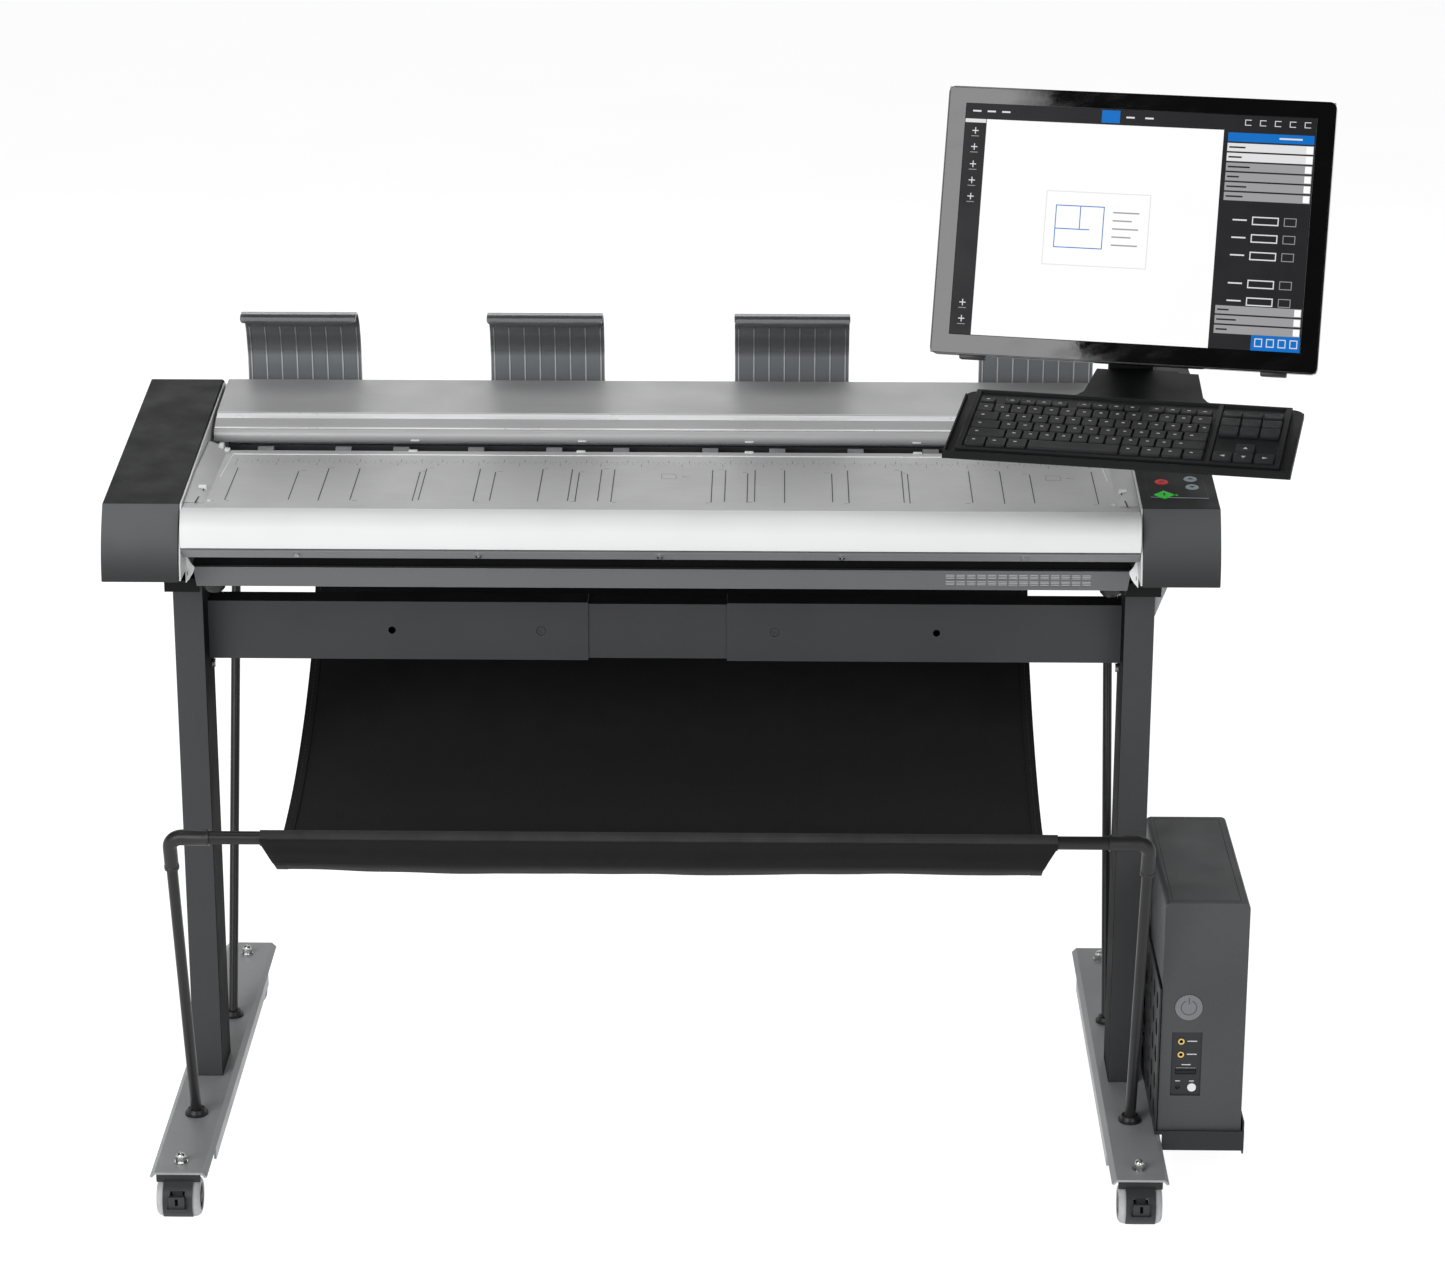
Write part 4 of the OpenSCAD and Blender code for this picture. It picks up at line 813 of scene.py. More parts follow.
def make_table_marks():
    """Printed paper-size lines, two rows of ruler ticks and plain page outlines on the table."""
    up = Vector((0, -TABLE_FALL, 1)).normalized()
    bm = bmesh.new()
    for n, half in enumerate(PAPER_HALF_WIDTHS):
        for side in (-1, 1):
            x = side * half
            far = 58 - 13 * (n % 3 == 1)
            near = -70 + 3 * (n % 2)
            bar(bm, on_table(x, near, 0.02), on_table(x, far, 0.02), 1.3, 0.1, up)
            reach = -side * (9 if n % 2 else 6)
            end = far + 3 if n % 3 else near - 2
            bar(bm, on_table(x + reach * 0.3, end, 0.02), on_table(x + reach, end, 0.02), 1.2, 0.1, up, 1)
    half = 528
    for n in range(int(2 * half / 6.35) + 1):
        x = -half + n * 6.35
        if n % 4 == 0:
            bar(bm, on_table(x, 86, 0.02), on_table(x, 95, 0.02), 1.0, 0.1, up, 1)
        bar(bm, on_table(x, 84, 0.02), on_table(x, 86.6, 0.02), 0.9, 0.1, up, 1)
    for n in range(int(2 * half / 10) + 1):
        x = -half + n * 10
        if n % 5 == 0:
            bar(bm, on_table(x, 70, 0.02), on_table(x, 77, 0.02), 1.0, 0.1, up, 1)
        bar(bm, on_table(x, 78.4, 0.02), on_table(x, 81, 0.02), 0.9, 0.1, up, 1)
    # page outlines: a sheet with a turned corner and a short arrow
    for x in (7, 475):
        corners = ((x - 9, 22), (x + 9, 22), (x + 9, 36), (x + 4, 41), (x - 9, 41))
        for a, b in zip(corners, corners[1:] + corners[:1]):
            bar(bm, on_table(*a, 0.02), on_table(*b, 0.02), 0.8, 0.1, up, 1)
        bar(bm, on_table(x + 16, 30, 0.02), on_table(x + 26, 30, 0.02), 0.8, 0.1, up, 1)
        bar(bm, on_table(x + 16, 30, 0.02), on_table(x + 19, 33, 0.02), 0.8, 0.1, up, 1)
    piece("table_marks", bm, [MARK, FAINT])

    edge = bmesh.new()
    bar(edge, on_table(-536, 114, 0.0), on_table(536, 114, 0.0), 2.2, 0.5, up)
    for side in (-1, 1):
        bar(edge, on_table(side * 536, 114, 0.0), on_table(side * 540, 20, 0.0), 1.0, 0.3, up, 1)
    piece("table_edge_lines", edge, [TRIM, WHITE])


def make_table_fittings():
    """Paper stops, clips and locating studs at the two ends of the table."""
    bm = bmesh.new()
    dark = bmesh.new()
    for side in (-1, 1):
        x = side * 553
        block(bm, (min(x, x + side * 2) - 4, -36, 852.4), (max(x, x + side * 2) + 4, -31, 858.6), 0.6)
        block(bm, (x - 3.2, 128, 854.4), (x + 3.2, 140, 862.5), 1.0)
        block(bm, (x - side * 8 - 3.4, 122, 854.6), (x - side * 8 + 3.4, 131, 858.4), 1.0)
        lathe(bm, ((0, 1.4), (2.4, 1.4), (3.2, 0.9), (3.4, 0)), on_table(side * 541, -73), (0, 0, 1), 20)
        bar(dark, on_table(side * 552.5, -36, 3.0), on_table(side * 556.5, -84, 1.2), 1.8, 0.25, (0, 0, 1))
    piece("paper_stops", bm, WHITE)
    piece("paper_stop_slots", dark, BLACK)


def make_vents():
    """Louvres in each opening of the base pan, and a black sheet behind them as painted shade for the dark
    inside.
    """
    front = low("base_pan").y
    bottom = low("base_pan").z
    bm = bmesh.new()
    for column in range(14):
        x = 342 + 12.6 * column
        for row in range(2):
            z = bottom + 5 + 8 * row
            for slat in range(3):
                foot = z + 0.5 + 2 * slat
                block(bm, (x - 0.2, front + 0.7, foot), (x + 10.6, front + 1.7, foot + 1.2))
    # painted shade: a black sheet stands just behind the openings
    block(bm, (339, front + 2.7, bottom + 3), (521, front + 3.3, bottom + 21.2), 0, material=1)
    piece("vent_louvres", bm, [FOOT, BLACK])


def make_corner_fairings():
    """White corner pieces between the pan's ends and the side walls."""
    front = low("base_pan").y
    wall = CAP_INNER - 0.3
    ring = ((0, 790), (-3.4, 781), (-6.4, 774), (-11, 768.5), (-11, 766), (-8.5, 760), (-5, 754.5),
            (0, 748.5))
    bm = bmesh.new()
    for side in (-1, 1):
        prism(bm, [(side * (wall + x), front - 3, z) for x, z in ring], (0, 2.6, 0))
        x = side * (wall - 2.6)
        block(bm, (x - 0.4, front - 3.2, 758), (x + 0.4, front - 2.6, 763), material=1)
    piece("corner_fairings", bm, [WHITE, BLACK])


def make_slot_clips():
    """Small white tabs that face each other across the paper slot."""
    upper, lower = bmesh.new(), bmesh.new()
    for x in (-314, -105, 104, 313):
        block(upper, (x - 5.4, 160.4, 858.7), (x + 5.4, 163.6, 860.7), 0.3)
        block(lower, (x - 5.4, 126.5, 854.7), (x + 5.4, 131.8, 856.6), 0.3)
    piece("lid_clips", upper, WHITE, "lid")
    piece("table_clips", lower, WHITE)


# ---------------------------------------------------------------- control panel
def cap_frame(x, y, lift=0.0):
    """A frame on the cap's top whose Z is square to it."""
    return Matrix.Translation(on_cap(x, y, lift)) @ Matrix.Rotation(math.atan(CAP_SLOPE), 4, "X")


def flat_bar(bm, place, a, b, width, thick, material=0):
    """A flat bar between two points of a frame's own XY plane."""
    up = place.to_3x3() @ Vector((0, 0, 1))
    bar(bm, place @ Vector((*a, 0)), place @ Vector((*b, 0)), width, thick, up, material)


def make_buttons():
    spots = {"stop": (602, -16.5), "up": (637.5, -7), "down": (637.5, -32), "start": (602, -56.5)}
    colours = {"stop": RED, "up": OVAL, "down": OVAL, "start": GREEN}
    for name, (x, y) in spots.items():
        top = cap_frame(x, y)
        bm = bmesh.new()
        if name == "start":
            ring = [(12.5, 0), (0, 12.5), (-12.5, 0), (0, -12.5)]
            lower = [bm.verts.new(top @ Vector((a, b, -7.4))) for a, b in ring]
            levels = ((1.0, 0.1), (0.95, 0.6), (0.86, 0.8))
        else:
            ring = ring_of(8, 40)
            lower = [bm.verts.new(top @ Vector((a, b, -7.4))) for a, b in ring]
            levels = ((1.0, 0.0), (0.96, 0.45), (0.88, 0.62), (0.6, 0.5))
        bm.faces.new(list(reversed(lower)))
        for scale, z in levels:
            upper = [bm.verts.new(top @ Vector((a * scale, b * scale, z))) for a, b in ring]
            for i in range(len(ring)):
                j = (i + 1) % len(ring)
                bm.faces.new((lower[i], lower[j], upper[j], upper[i]))
            lower = upper
        bm.faces.new(lower)
        mark = top @ Matrix.Translation((0, 0, 0.5 if name != "start" else 0.75))
        if name == "stop":
            flat_bar(bm, mark, (-2.6, -2.6), (2.6, 2.6), 1.1, 0.25, 1)
            flat_bar(bm, mark, (-2.6, 2.6), (2.6, -2.6), 1.1, 0.25, 1)
        elif name == "start":
            flat_bar(bm, mark, (0, -3.4), (0, 3.4), 2.0, 0.25, 1)
        else:
            sign = 1 if name == "up" else -1
            prism(bm, [mark @ Vector(p) for p in ((-4, -2 * sign, 0), (4, -2 * sign, 0), (0, 3 * sign, 0))],
                  top.to_3x3() @ Vector((0, 0, 0.25)), 1)
        mark_look = MARK if name != "start" else BLACK
        piece(name + "_button_cap", bm, [colours[name], mark_look], name + "_button",
              ["button_" + name], smooth=24)


def make_control_panel():
    """A thin raised rim round the button field, its guide lines, status light and speaker holes."""
    rim = ((583.4, -13.7), (583.1, -69.6), (654.1, -68.6), (651.6, 20.3), (583.4, 20.3))
    bm = bmesh.new()
    normal = Vector((0, -CAP_SLOPE, 1))
    for a, b in zip(rim, rim[1:] + rim[:1]):
        bar(bm, on_cap(*a, 0.01), on_cap(*b, 0.01), 0.7, 0.15, normal)
    bar(bm, on_cap(585.4, -63.8, 0.02), on_cap(654.2, -67.1, 0.02), 1.0, 0.25, normal, 1)
    lathe(bm, ((0, 0.9), (1.2, 0.8), (1.7, 0.3), (1.8, -0.2)), on_cap(616.7, -57.5), normal, 18, 2)
    for n in range(16):
        hole = on_cap(657.5 - 0.02 * n, 34 - 4.4 * n)
        lathe(bm, ((0, 0.14), (0.8, 0.14), (0.8, 0.0)), hole, normal, 10)
    piece("panel_lines", bm, [BLACK, OVAL, GREEN])


# ---------------------------------------------------------------- paper guides
GUIDE_KEYS = ((346, 878.6), (347, 900), (344, 930), (335, 958), (320, 978), (302, 988), (285, 986),
              (276, 978))
GUIDE_W = 147
GUIDE_X = (-471, -157.3, 157.3, 471)
RIB_PITCH = 19.6


def make_guides():
    line = smooth_line(GUIDE_KEYS, 8)
    total = lengths(line)
    ribs = [RIB_PITCH * (n - 3.5) for n in range(8)]
    columns = [(-GUIDE_W / 2, 0.0), (-GUIDE_W / 2 + 1, 0.0), (-GUIDE_W / 2 + 2.6, 0.0)]
    for x in ribs:
        columns += [(x - 1.5, 0.0), (x - 0.8, 1.1), (x + 0.8, 1.1), (x + 1.5, 0.0), (x + 9.8, 0.0)]
    columns = columns[:-1] + [(GUIDE_W / 2 - 2.6, 0.0), (GUIDE_W / 2 - 1, 0.0), (GUIDE_W / 2, 0.0)]
    cross_steps = (52, 57, 82, 86, 108)
    rows = 46
    rib_rows = 26
    for index, centre in enumerate(GUIDE_X):
        bm = bmesh.new()
        grid = [[], []]
        for x, height in columns:
            edge = abs(x) / (GUIDE_W / 2)
            corner = 4.0
            over = max(0.0, abs(x) - (GUIDE_W / 2 - corner))
            reach = total[-1] - 3.6 * edge ** 2 - (corner - math.sqrt(max(0.0, corner ** 2 - over ** 2)))
            column = [[], []]
            for k in range(rows + 1):
                s = reach * k / rows
                p, q = along(line, total, s), along(line, total, min(total[-1], s + 1.0))
                back_p = along(line, total, max(0.0, s - 1.0))
                tangent = (q - back_p).normalized()
                out = Vector((-tangent.y, tangent.x))
                fade = min(1.0, max(0.0, (reach - s) / 6))
                step = 0.35 * any(abs(s - c) < 1.6 for c in cross_steps)
                front = p + out * (1.0 + height * fade + step)
                rear = p - out * 1.0
                column[0].append(bm.verts.new((centre + x, front.x, front.y)))
                column[1].append(bm.verts.new((centre + x, rear.x, rear.y)))
            grid[0].append(column[0])
            grid[1].append(column[1])
        for level in (0, 1):
            for i in range(len(columns) - 1):
                a, b = grid[level][i], grid[level][i + 1]
                rib = columns[i][1] + columns[i + 1][1] > 2 or i in (0, len(columns) - 2)
                for k in range(rows):
                    face = bm.faces.new((a[k], b[k], b[k + 1], a[k + 1]))
                    # painted highlight: the ribs and side edges of the lower rows take the lighter rib copy
                    face.material_index = int(rib and k < rib_rows)
        n = len(columns)
        for i in range(n - 1):
            bm.faces.new((grid[0][i][0], grid[0][i + 1][0], grid[1][i + 1][0], grid[1][i][0]))
            bm.faces.new((grid[0][i][rows], grid[0][i + 1][rows], grid[1][i + 1][rows], grid[1][i][rows]))
        for i in (0, n - 1):
            for k in range(rows):
                bm.faces.new((grid[0][i][k], grid[0][i][k + 1], grid[1][i][k + 1], grid[1][i][k]))
        piece("paper_guide_%d" % (index + 1), bm, [SMOKE, RIB_HIGHLIGHT],
              replaces=["paper_guides"] if index == 0 else (), smooth=28)
    feet = bmesh.new()
    fall = math.atan(20 / 45.5)
    for centre in GUIDE_X:
        place = Matrix.Translation((centre, 347, 877.2)) @ Matrix.Rotation(-fall, 4, "X")
        block(feet, (-GUIDE_W / 2 + 2, -9.4, 0.2), (GUIDE_W / 2 - 2, 9.4, 3.0), 0.9, place=place)
        for side in (-1, 1):
            head = place @ Vector((side * 55, 4.5, 3.0))
            lathe(feet, ((0, 1.6), (2.6, 1.6), (3.4, 1.0), (3.4, -0.2)), head,
                  place.to_3x3() @ Vector((0, 0, 1)), 20)
    piece("guide_clips", feet, FITTING)


# ---------------------------------------------------------------- monitor
SCREEN_W = 406
SCREEN_H = 270


def ui(bm, x0, y0, x1, y1, lift, material):
    """A lit area of the display, given in parts of its width from the left and its height from the top."""
    left, right = (x0 - 0.5) * SCREEN_W, (x1 - 0.5) * SCREEN_W
    foot, top = (0.5 - y1) * SCREEN_H, (0.5 - y0) * SCREEN_H
    block(bm, (left, -1.6 - lift, foot), (right, -1.0, top), material=material, place=SCREEN)


def make_screen():
    bm = bmesh.new()
    dark, white, grey, pale, blue = range(5)
    ui(bm, 0, 0, 1, 1, 0.0, dark)
    ui(bm, 0.062, 0.066, 0.742, 1, 0.1, white)
    ui(bm, 0, 0.066, 0.06, 0.082, 0.1, pale)
    ui(bm, 0.392, 0.004, 0.444, 0.058, 0.1, blue)
    for x in (0.02, 0.062, 0.104, 0.462, 0.516):
        ui(bm, x, 0.028, x + 0.024, 0.035, 0.1, pale)
    for n in range(5):
        x = 0.8 + n * 0.042
        ui(bm, x, 0.018, x + 0.018, 0.021, 0.1, pale)
        ui(bm, x, 0.04, x + 0.018, 0.043, 0.1, pale)
        ui(bm, x, 0.018, x + 0.002, 0.043, 0.1, pale)
    for n, y in enumerate((0.115, 0.185, 0.26, 0.33, 0.4, 0.86, 0.93)):
        ui(bm, 0.022, y, 0.04, y + 0.004, 0.1, pale)
        ui(bm, 0.03, y - 0.012, 0.0325, y + 0.016, 0.1, pale)
        ui(bm, 0.02, y + 0.024, 0.042, y + 0.027, 0.1, grey)
    ui(bm, 0.755, 0.075, 0.998, 0.113, 0.1, blue)
    ui(bm, 0.9, 0.09, 0.965, 0.097, 0.2, pale)
    for y, tint in ((0.12, pale), (0.162, pale), (0.204, grey), (0.246, grey), (0.288, grey), (0.33, grey),
                    (0.815, grey), (0.857, grey), (0.899, grey)):
        ui(bm, 0.755, y, 0.998, y + 0.035, 0.1, tint)
        ui(bm, 0.76, y + 0.014, 0.76 + 0.03 + 0.05 * dice.random(), y + 0.021, 0.2, dark)
        ui(bm, 0.978, y + 0.003, 0.996, y + 0.032, 0.2, white)
    for y in (0.43, 0.505, 0.58, 0.7, 0.775):
        ui(bm, 0.84, y, 0.915, y + 0.036, 0.1, pale)
        ui(bm, 0.843, y + 0.005, 0.912, y + 0.031, 0.2, dark)
        ui(bm, 0.93, y, 0.965, y + 0.036, 0.1, grey)
        ui(bm, 0.932, y + 0.003, 0.963, y + 0.033, 0.2, dark)
        ui(bm, 0.785, y + 0.014, 0.825, y + 0.02, 0.1, pale)
    ui(bm, 0.862, 0.935, 1.0, 1.0, 0.2, blue)
    for n in range(4):
        x = 0.872 + n * 0.033
        for a, b, c, d in ((0, 0, 0.022, 0.004), (0, 0.032, 0.022, 0.036), (0, 0, 0.0025, 0.036),
                           (0.0195, 0, 0.022, 0.036)):
            ui(bm, x + a, 0.948 + b, x + c, 0.948 + d, 0.3, pale)
    # a plain line drawing stands on the canvas as the scanned sheet
    ui(bm, 0.25, 0.36, 0.55, 0.68, 0.2, pale)
    ui(bm, 0.2525, 0.3635, 0.5475, 0.6765, 0.3, white)
    for a, b, c, d in ((0.28, 0.42, 0.42, 0.424), (0.28, 0.42, 0.2825, 0.6), (0.28, 0.6, 0.42, 0.604),
                       (0.4175, 0.42, 0.42, 0.604), (0.35, 0.42, 0.3525, 0.52), (0.28, 0.52, 0.38, 0.524)):
        ui(bm, a, b, c, d, 0.4, blue)
    for n in range(5):
        ui(bm, 0.445, 0.44 + n * 0.035, 0.52 - 0.02 * (n % 2), 0.446 + n * 0.035, 0.4, grey)
    piece("display_picture", bm, [UI_DARK, UI_WHITE, UI_GREY, UI_PALE, UI_BLUE], "monitor",
          ["monitor_screen"])


def make_monitor():
    rounded("monitor_shell", BEZEL, 1.0, segments=3)
    bm = bmesh.new()
    # a bright edge line round the front glass, pads below it and vents behind it
    w, h = 223.6, 155.4
    face = -1.35
    ring = ((-w, -h), (w, -h), (w, h), (-w, h))
    for a, b in zip(ring, ring[1:] + ring[:1]):
        p, q = SCREEN @ Vector((a[0], face + 0.9, a[1] - 2)), SCREEN @ Vector((b[0], face + 0.9, b[1] - 2))
        bar(bm, p, q, 0.8, 0.5, SCREEN.to_3x3() @ Vector((0, -1, 0)), 0)
    for x in (-175, 175):
        block(bm, (x - 15, 0.5, -163.5), (x + 15, 14, -157), 1.5, 2, 1, SCREEN)
    for n in range(16):
        x = -131 + n * 17.5
        block(bm, (x - 5.5, 31.8, 62), (x + 5.5, 33.6, 65), 0.7, 1, 1, SCREEN)
        block(bm, (x - 5.5, 31.8, 54), (x + 5.5, 33.6, 57), 0.7, 1, 1, SCREEN)
    piece("monitor_trim", bm, [STAND, FITTING], "monitor")


def make_arm():
    rounded("arm_pole", ARM, 1.0)
    rounded("swivel_arm", ARM, 1.2)
    bm = bmesh.new()
    x0 = high("column_right").x
    prism(bm, [(x0 + 0.2, 6, 684), (x0 + 0.2, 6, 722), (x0 + 15, 6, 722)], (0, 4, 0), 0)
    lathe(bm, ((0, 3.0), (3.4, 3.0), (4.2, 2.2), (4.2, 0)), (x0 + 4, 6, 715), (0, -1, 0), 20, 1)
    piece("pole_gusset", bm, [FOOT, ZINC])


# ---------------------------------------------------------------- keyboard
KEY_ROWS = ((1.25, 1.25, 1.25, 5.5, 1.25, 1.25, 1.25, 1.25),
            (2.25,) + (1,) * 10 + (2.0,),
            (1.75,) + (1,) * 11 + (1.5,),
            (1.5,) + (1,) * 12 + (0.75,),
            (1,) * 13 + (1.25,))


def corner_arc(cx, cy, r, start, steps=6):
    return [(cx + r * math.cos(math.radians(start + 90 * i / steps)),
             cy + r * math.sin(math.radians(start + 90 * i / steps))) for i in range(steps + 1)]


NECK = ((103, 0), (92, 2), (83, 8), (77, 18), (64, 82), (-56, 82), (-62, 18), (-68, 8), (-77, 2), (-88, 0))


def make_tray():
    """The tray: a pressed plate with round rear corners, an upright front lip and a neck to the arm."""
    half_w, half_d, r = 196.5, 88, 15
    up = Matrix.Translation((0, 2, 2))
    place = TRAY @ up
    outline = ([(-half_w, -half_d), (half_w, -half_d)] + corner_arc(half_w - r, half_d - r, r, 0)
               + [(x, half_d + y) for x, y in NECK]
               + corner_arc(-half_w + r, half_d - r, r, 90))
    bm = bmesh.new()
    prism(bm, [place @ Vector((x, y, -9)) for x, y in outline], place.to_3x3() @ Vector((0, 0, 2.6)))
    edges = [e for e in bm.edges if e.calc_face_angle(0) > math.radians(60)]
    bmesh.ops.bevel(bm, geom=edges, offset=0.7, offset_type="OFFSET", segments=2, profile=0.5,
                    affect="EDGES")
    block(bm, (-half_w, -half_d - 0.2, -8.6), (half_w, -half_d + 2.8, 0.4), 1.1, 3, 0, place)
    for side in (-1, 1):
        x0, x1 = sorted((side * (half_w - 2.6), side * half_w))
        block(bm, (x0, -half_d + 1, -8.6), (x1, half_d - r, -2.5), 0.9, 2, 0, place)
    piece("keyboard_tray_plate", bm, ARM, "arm", ["keyboard_tray"], smooth=40, weighted=True)


def key(bm, x0, y0, x1, y1, place):
    """A flat key with rounded corners, a dished top and a slight taper."""
    r = 1.8
    levels = ((0.0, -2.6), (0.0, 1.0), (0.35, 1.75), (1.0, 2.0))
    last = None
    for inset, z in levels:
        a, b, c, d = x0 + inset, y0 + inset, x1 - inset, y1 - inset
        ring = (corner_arc(c - r, d - r, r, 0, 3) + corner_arc(a + r, d - r, r, 90, 3)
                + corner_arc(a + r, b + r, r, 180, 3) + corner_arc(c - r, b + r, r, 270, 3))
        here = [bm.verts.new(place @ Vector((x, y, z))) for x, y in ring]
        if last is None:
            bm.faces.new(list(reversed(here)))
        else:
            for i in range(len(here)):
                j = (i + 1) % len(here)
                bm.faces.new((last[i], last[j], here[j], here[i]))
        last = here
    inner = [v.co.copy() for v in last]
    mid = sum(inner, Vector()) / len(inner)
    drop = place.to_3x3() @ Vector((0, 0, -0.3))
    dish = [bm.verts.new(mid.lerp(p, 0.72) + drop) for p in inner]
    for i in range(len(last)):
        j = (i + 1) % len(last)
        bm.faces.new((last[i], last[j], dish[j], dish[i]))
    bm.faces.new(dish)


def make_keyboard():
    rounded("keyboard_body", KEYBOARD, 1.0, segments=3)
    place = TRAY @ Matrix.Translation((0, 2, 4.4))
    bm = bmesh.new()
    marks = bmesh.new()
    x0, y0 = -174, -74.4
    pitch_y = 22.0
    width = 271.0
    gap = 0.9
    up = place.to_3x3() @ Vector((0, 0, 1))

    def mark(x, y, half, thick):
        """A short plain dash where a key's legend would be."""
        z = 1.84
        bar(marks, place @ Vector((x - half, y, z)), place @ Vector((x + half, y, z)), thick, 0.1, up)

    for r, row in enumerate(KEY_ROWS):
        unit = width / sum(row)
        at = x0
        for size in row:
            near = y0 + r * pitch_y
            key(bm, at + gap, near + gap, at + size * unit - gap, near + pitch_y - gap, place)
            if size < 5:
                mark(at + min(size * unit, 19) / 2, near + 13.5, 1.7, 1.7)
            at += size * unit
    # function keys: low, in groups
    top = y0 + 5 * pitch_y + 4.5
    at = x0
    for count in (1, 4, 4, 4):
        for n in range(count):
            key(bm, at + gap, top, at + 17.6, top + 12.5, place)
            mark(at + 9, top + 7, 2, 1.3)
            at += 18.5
        at += 9.6
    # navigation block and arrows
    nav = 107.0
    for c in range(3):
        x = nav + c * 23.4
        for y, depth in ((top, 12.5), (y0 + 4 * pitch_y + gap, 20.2), (y0 + 3 * pitch_y + gap, 20.2),
                         (y0 + gap, 20.2)):
            key(bm, x, y, x + 21.6, y + depth, place)
    key(bm, nav + 23.4, y0 + pitch_y + gap, nav + 45.0, y0 + 2 * pitch_y - gap, place)
    for dx, dy, turn in ((11, 11, 180), (34.2, 11, 270), (57.6, 11, 0), (34.2, 33, 90)):
        points = [(3.4 * math.cos(math.radians(turn + a)), 3.0 * math.sin(math.radians(turn + a)))
                  for a in (0, 130, 230)]
        prism(marks, [place @ Vector((nav + dx + a, y0 + dy + b, 1.78)) for a, b in points], up * 0.12)
    piece("keyboard_key_caps", bm, KEY, "arm", ["keyboard_keys"], smooth=50)
    piece("keyboard_arrow_marks", marks, LEGEND, "arm")


# ---------------------------------------------------------------- computer
def make_computer():
    case_low, case_high = low("pc_case"), high("pc_case")
    x0, y0, z0 = case_low.x, case_low.y, case_low.z + 2
    holder_x = low("pc_holder").x

    def small(p):
        return p.y < y0 + 12 and z0 + 20 < p.z < z0 + 220 and x0 + 5 < p.x < case_high.x - 5

    def ports(p, n):
        return 1 if small(p) and p.y > y0 + 0.8 and p.z < z0 + 135 else 0
    rounded("pc_case", [PC, PORTS], 1.2, fine=small, fine_width=0.3, segments=3, pick=ports)
    rounded("pc_holder", HOLDER, 0.5, fine=lambda p: p.x < holder_x + 3)
    rounded("pc_power_button", BUTTON, 0.8, segments=2)
    rounded("pc_reset_button", WHITE, 0.4)
    bm = bmesh.new()

    def label(a, b, dz, thick):
        """A plain dash beside a socket."""
        y = y0 + 1.9
        bar(bm, (x0 + a, y, z0 + dz), (x0 + b, y, z0 + dz), thick, 0.2, (0, -1, 0), 3)

    for dz in (101, 118.5):
        lathe(bm, ((2.0, 1.4), (2.0, -0.2), (2.4, -0.8), (3.9, -0.8), (4.3, -0.2), (4.3, 1.0)),
              (x0 + 25.5, y0 + 1.0, z0 + dz), (0, 1, 0), 24, 0)
        label(33, 45, dz, 1.2)
    block(bm, (x0 + 20, y0 + 2.4, z0 + 74.5), (x0 + 44.5, y0 + 3.4, z0 + 82), 0.4, 1, 1)
    block(bm, (x0 + 22, y0 + 1.2, z0 + 77.2), (x0 + 42.5, y0 + 2.6, z0 + 79.4), 0.2, 1, 1)
    block(bm, (x0 + 19.7, y0 + 0.9, z0 + 82.6), (x0 + 44.8, y0 + 2.0, z0 + 83.4), 0.2, 1, 2)
    label(27, 38, 87, 1.2)
    for dx in (20, 37):
        label(dx, dx + 6, 65, 1.0)
    piece("pc_front_sockets", bm, [GOLD, BLACK, STEEL, LEGEND])

    # a plain ring and bar on the power button, and the seams of the case's cover
    sign = bmesh.new()
    centre = Vector((x0 + 33, low("pc_power_button").y - 0.02, z0 + 164.5))
    ring = [centre + 9.5 * Vector((math.sin(a), 0, math.cos(a))) for a in
            (math.radians(24 + 312 * k / 40) for k in range(41))]
    for a, b in zip(ring, ring[1:]):
        bar(sign, a, b, 0.9, 0.25, (0, -1, 0))
    bar(sign, centre + Vector((0, 0, 5)), centre + Vector((0, 0, 13)), 1.0, 0.25, (0, -1, 0))
    piece("power_sign", sign, PC, "pc_power")
    seams = bmesh.new()
    top = case_high.z - 0.1
    for x in (x0 + 9, case_high.x - 11):
        bar(seams, (x, y0 + 8, top), (x, case_high.y - 8, top), 1.1, 0.25, (0, 0, 1))
    for y in (y0 + 8, case_high.y - 8):
        bar(seams, (x0 + 9, y, top), (case_high.x - 11, y, top), 0.9, 0.25, (0, 0, 1))
    piece("case_seams", seams, BLACK)


# ---------------------------------------------------------------- rear of the scanner
def make_rear():
    """What the scanner carries behind: a power inlet, data sockets and cover screws."""
    y = high("base_pan").y
    bm = bmesh.new()
    block(bm, (-520, y - 1, 749), (-466, y + 2.2, 779), 1.4, 2, 0)
    block(bm, (-513, y + 1.4, 753), (-473, y + 2.9, 775), 1.0, 2, 1)
    for dx in (-8, 0, 8):
        block(bm, (-493 + dx - 1, y + 2.0, 762), (-493 + dx + 1, y + 3.6, 768), 0.3, 1, 2)
    for x, half, foot, top in ((-432, 8, 756, 770), (-404, 6, 757, 769), (-374, 6, 757, 769)):
        block(bm, (x - half, y - 0.6, foot), (x + half, y + 2.0, top), 0.6, 2, 1)
    for x in (-530, -340, -170, 0, 170, 340, 530):
        lathe(bm, ((0, 1.4), (1.2, 1.4), (1.4, 2.0), (3.2, 1.6), (3.8, 0.2)), (x, y - 0.2, 776),
              (0, 1, 0), 20, 2)
    piece("rear_sockets", bm, [FITTING, BLACK, STEEL])


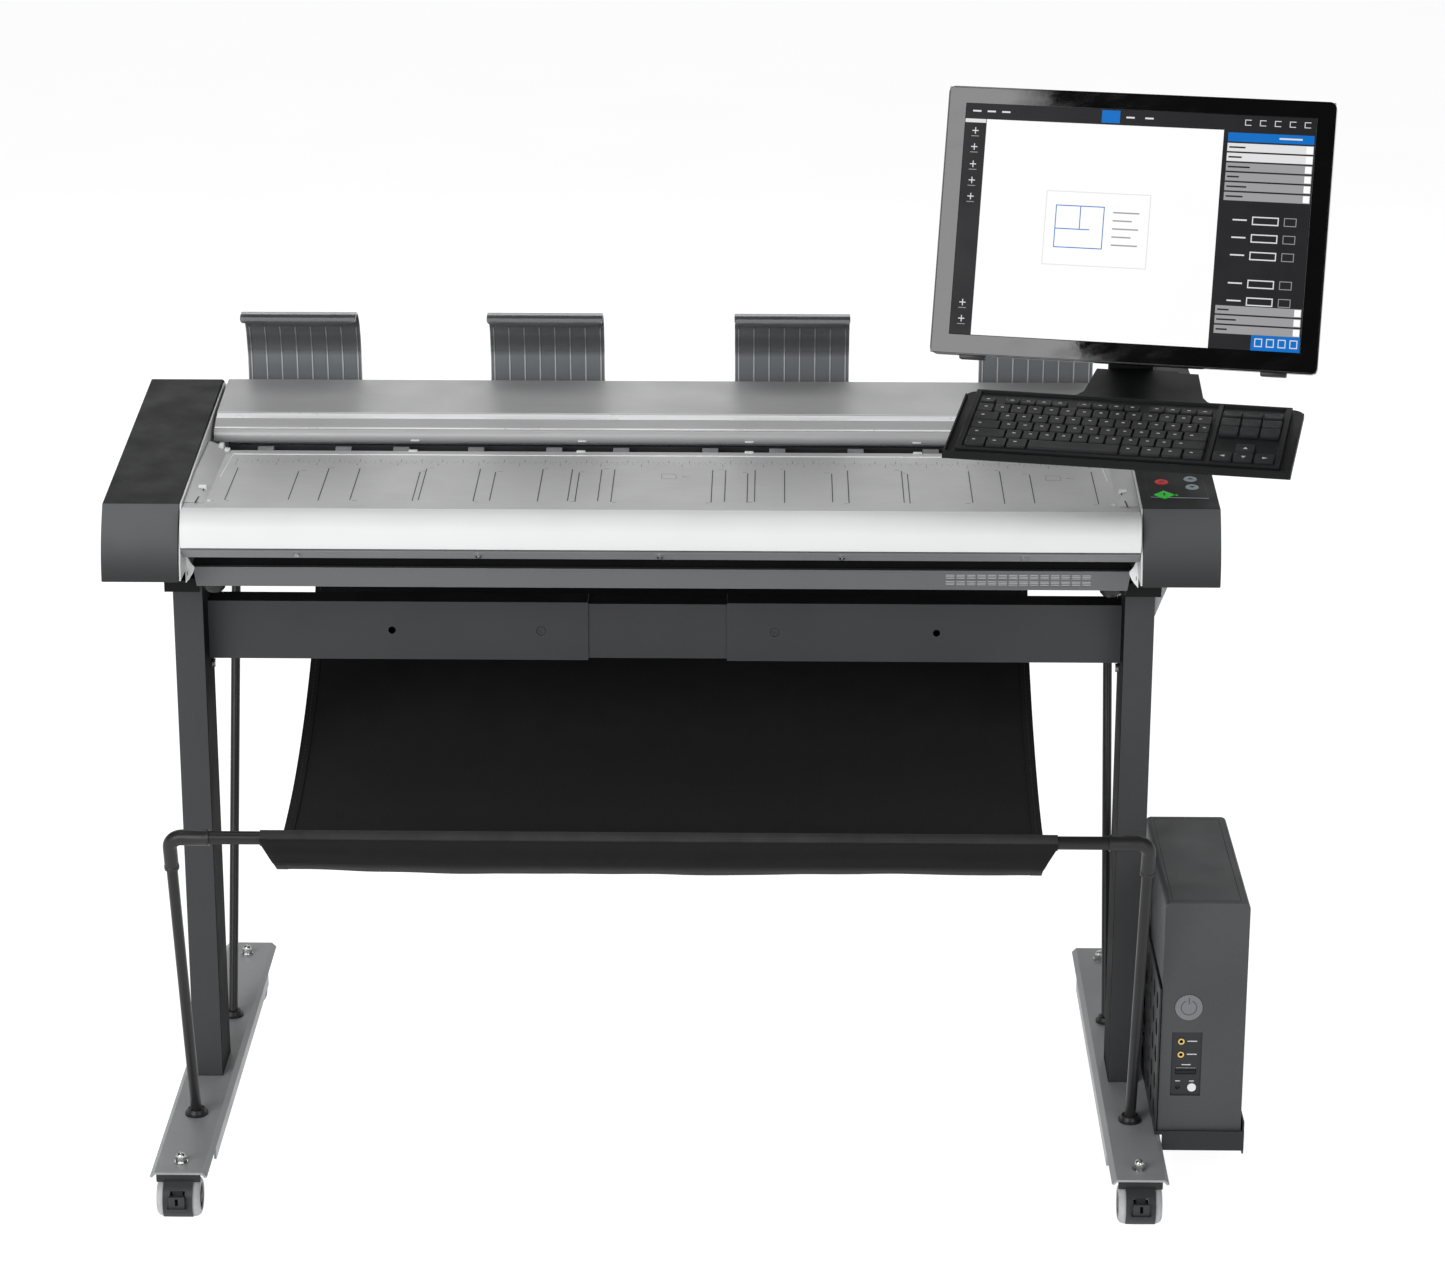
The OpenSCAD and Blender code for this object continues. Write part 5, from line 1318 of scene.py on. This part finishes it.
# ---------------------------------------------------------------- light, floor and backdrop
def area(name, place, target, size, power, roll=0.0):
    lamp = bpy.data.lights.new(name, "AREA")
    lamp.shape = "RECTANGLE"
    lamp.size, lamp.size_y = size
    lamp.energy = power
    made = bpy.data.objects.new(name, lamp)
    made.location = place
    aim = (Vector(target) - Vector(place)).to_track_quat("-Z", "Y").to_matrix().to_4x4()
    made.rotation_euler = (aim @ Matrix.Rotation(math.radians(roll), 4, "Z")).to_euler()
    bpy.context.scene.collection.objects.link(made)
    return made


def stage_sheet(name, corners, material):
    """A flat sheet of the set, which isn't part of the object."""
    bm = bmesh.new()
    bm.faces.new([bm.verts.new(p) for p in corners])
    mesh = bpy.data.meshes.new(name)
    bm.to_mesh(mesh)
    bm.free()
    mesh.materials.append(material)
    made = bpy.data.objects.new(name, mesh)
    bpy.context.scene.collection.objects.link(made)
    return made


KEY_ROLL = 15.8


def make_studio():
    floor_look = Look("studio_floor", {"Specular IOR Level": 0.2, "Emission Strength": 0.93})
    speck = floor_look.grain(floor_look.place(), 3.0, 4.0)
    floor_look.set("Base Color", floor_look.mix(speck, (0.32, 0.32, 0.32, 1), (0.35, 0.35, 0.35, 1)))
    floor_look.set("Emission Color", floor_look.mix(speck, (0.98, 0.98, 0.98, 1), (1, 1, 1, 1)))
    floor_look.set("Roughness", floor_look.spread(speck, 0, 1, 0.6, 0.75))
    reach = 30
    stage_sheet("floor", ((-reach, -reach, 0), (reach, -reach, 0), (reach, reach, 0), (-reach, reach, 0)),
                floor_look.material)

    world = bpy.data.worlds.new("studio")
    bpy.context.scene.world = world
    world.use_nodes = True
    tree = world.node_tree
    background = next(n for n in tree.nodes if n.type == "BACKGROUND")
    background.inputs["Color"].default_value = (0.98, 0.99, 1.0, 1)
    where = tree.nodes.new("ShaderNodeTexCoord")
    parts = tree.nodes.new("ShaderNodeSeparateXYZ")
    fall = tree.nodes.new("ShaderNodeMapRange")
    fall.interpolation_type = "SMOOTHSTEP"
    for key, value in (("From Min", 0.02), ("From Max", 0.3), ("To Min", 0.7), ("To Max", 0.07)):
        fall.inputs[key].default_value = value
    tree.links.new(where.outputs["Generated"], parts.inputs[0])
    tree.links.new(parts.outputs[2], fall.inputs["Value"])
    tree.links.new(fall.outputs[0], background.inputs["Strength"])
    # the key faces straight back; its slanted inner edge shows as the highlight on the display's glass
    area("key", (-3.28, -4.438, 2.93), (-3.28, 0, 2.93), (4.4, 3.2), 290, KEY_ROLL)
    area("fill", (2.6, -3.9, 1.7), (0, 0, 0.7), (2.2, 2.2), 42)
    area("top", (0, 0.3, 4.2), (0, 0, 0.8), (3.6, 1.8), 42)
    area("back", (0, 4.0, 3.0), (0, 0, 0.8), (6.4, 1.6), 62)
    bpy.context.scene.view_settings.view_transform = "Standard"


make_stand()
make_elbows()
make_foot_caps()
make_fabric()
make_casters()
make_body()
make_lid_trim()
make_table_marks()
make_table_fittings()
make_vents()
make_corner_fairings()
make_slot_clips()
make_buttons()
make_control_panel()
make_guides()
make_screen()
make_monitor()
make_arm()
make_tray()
make_keyboard()
make_computer()
make_rear()
make_studio()
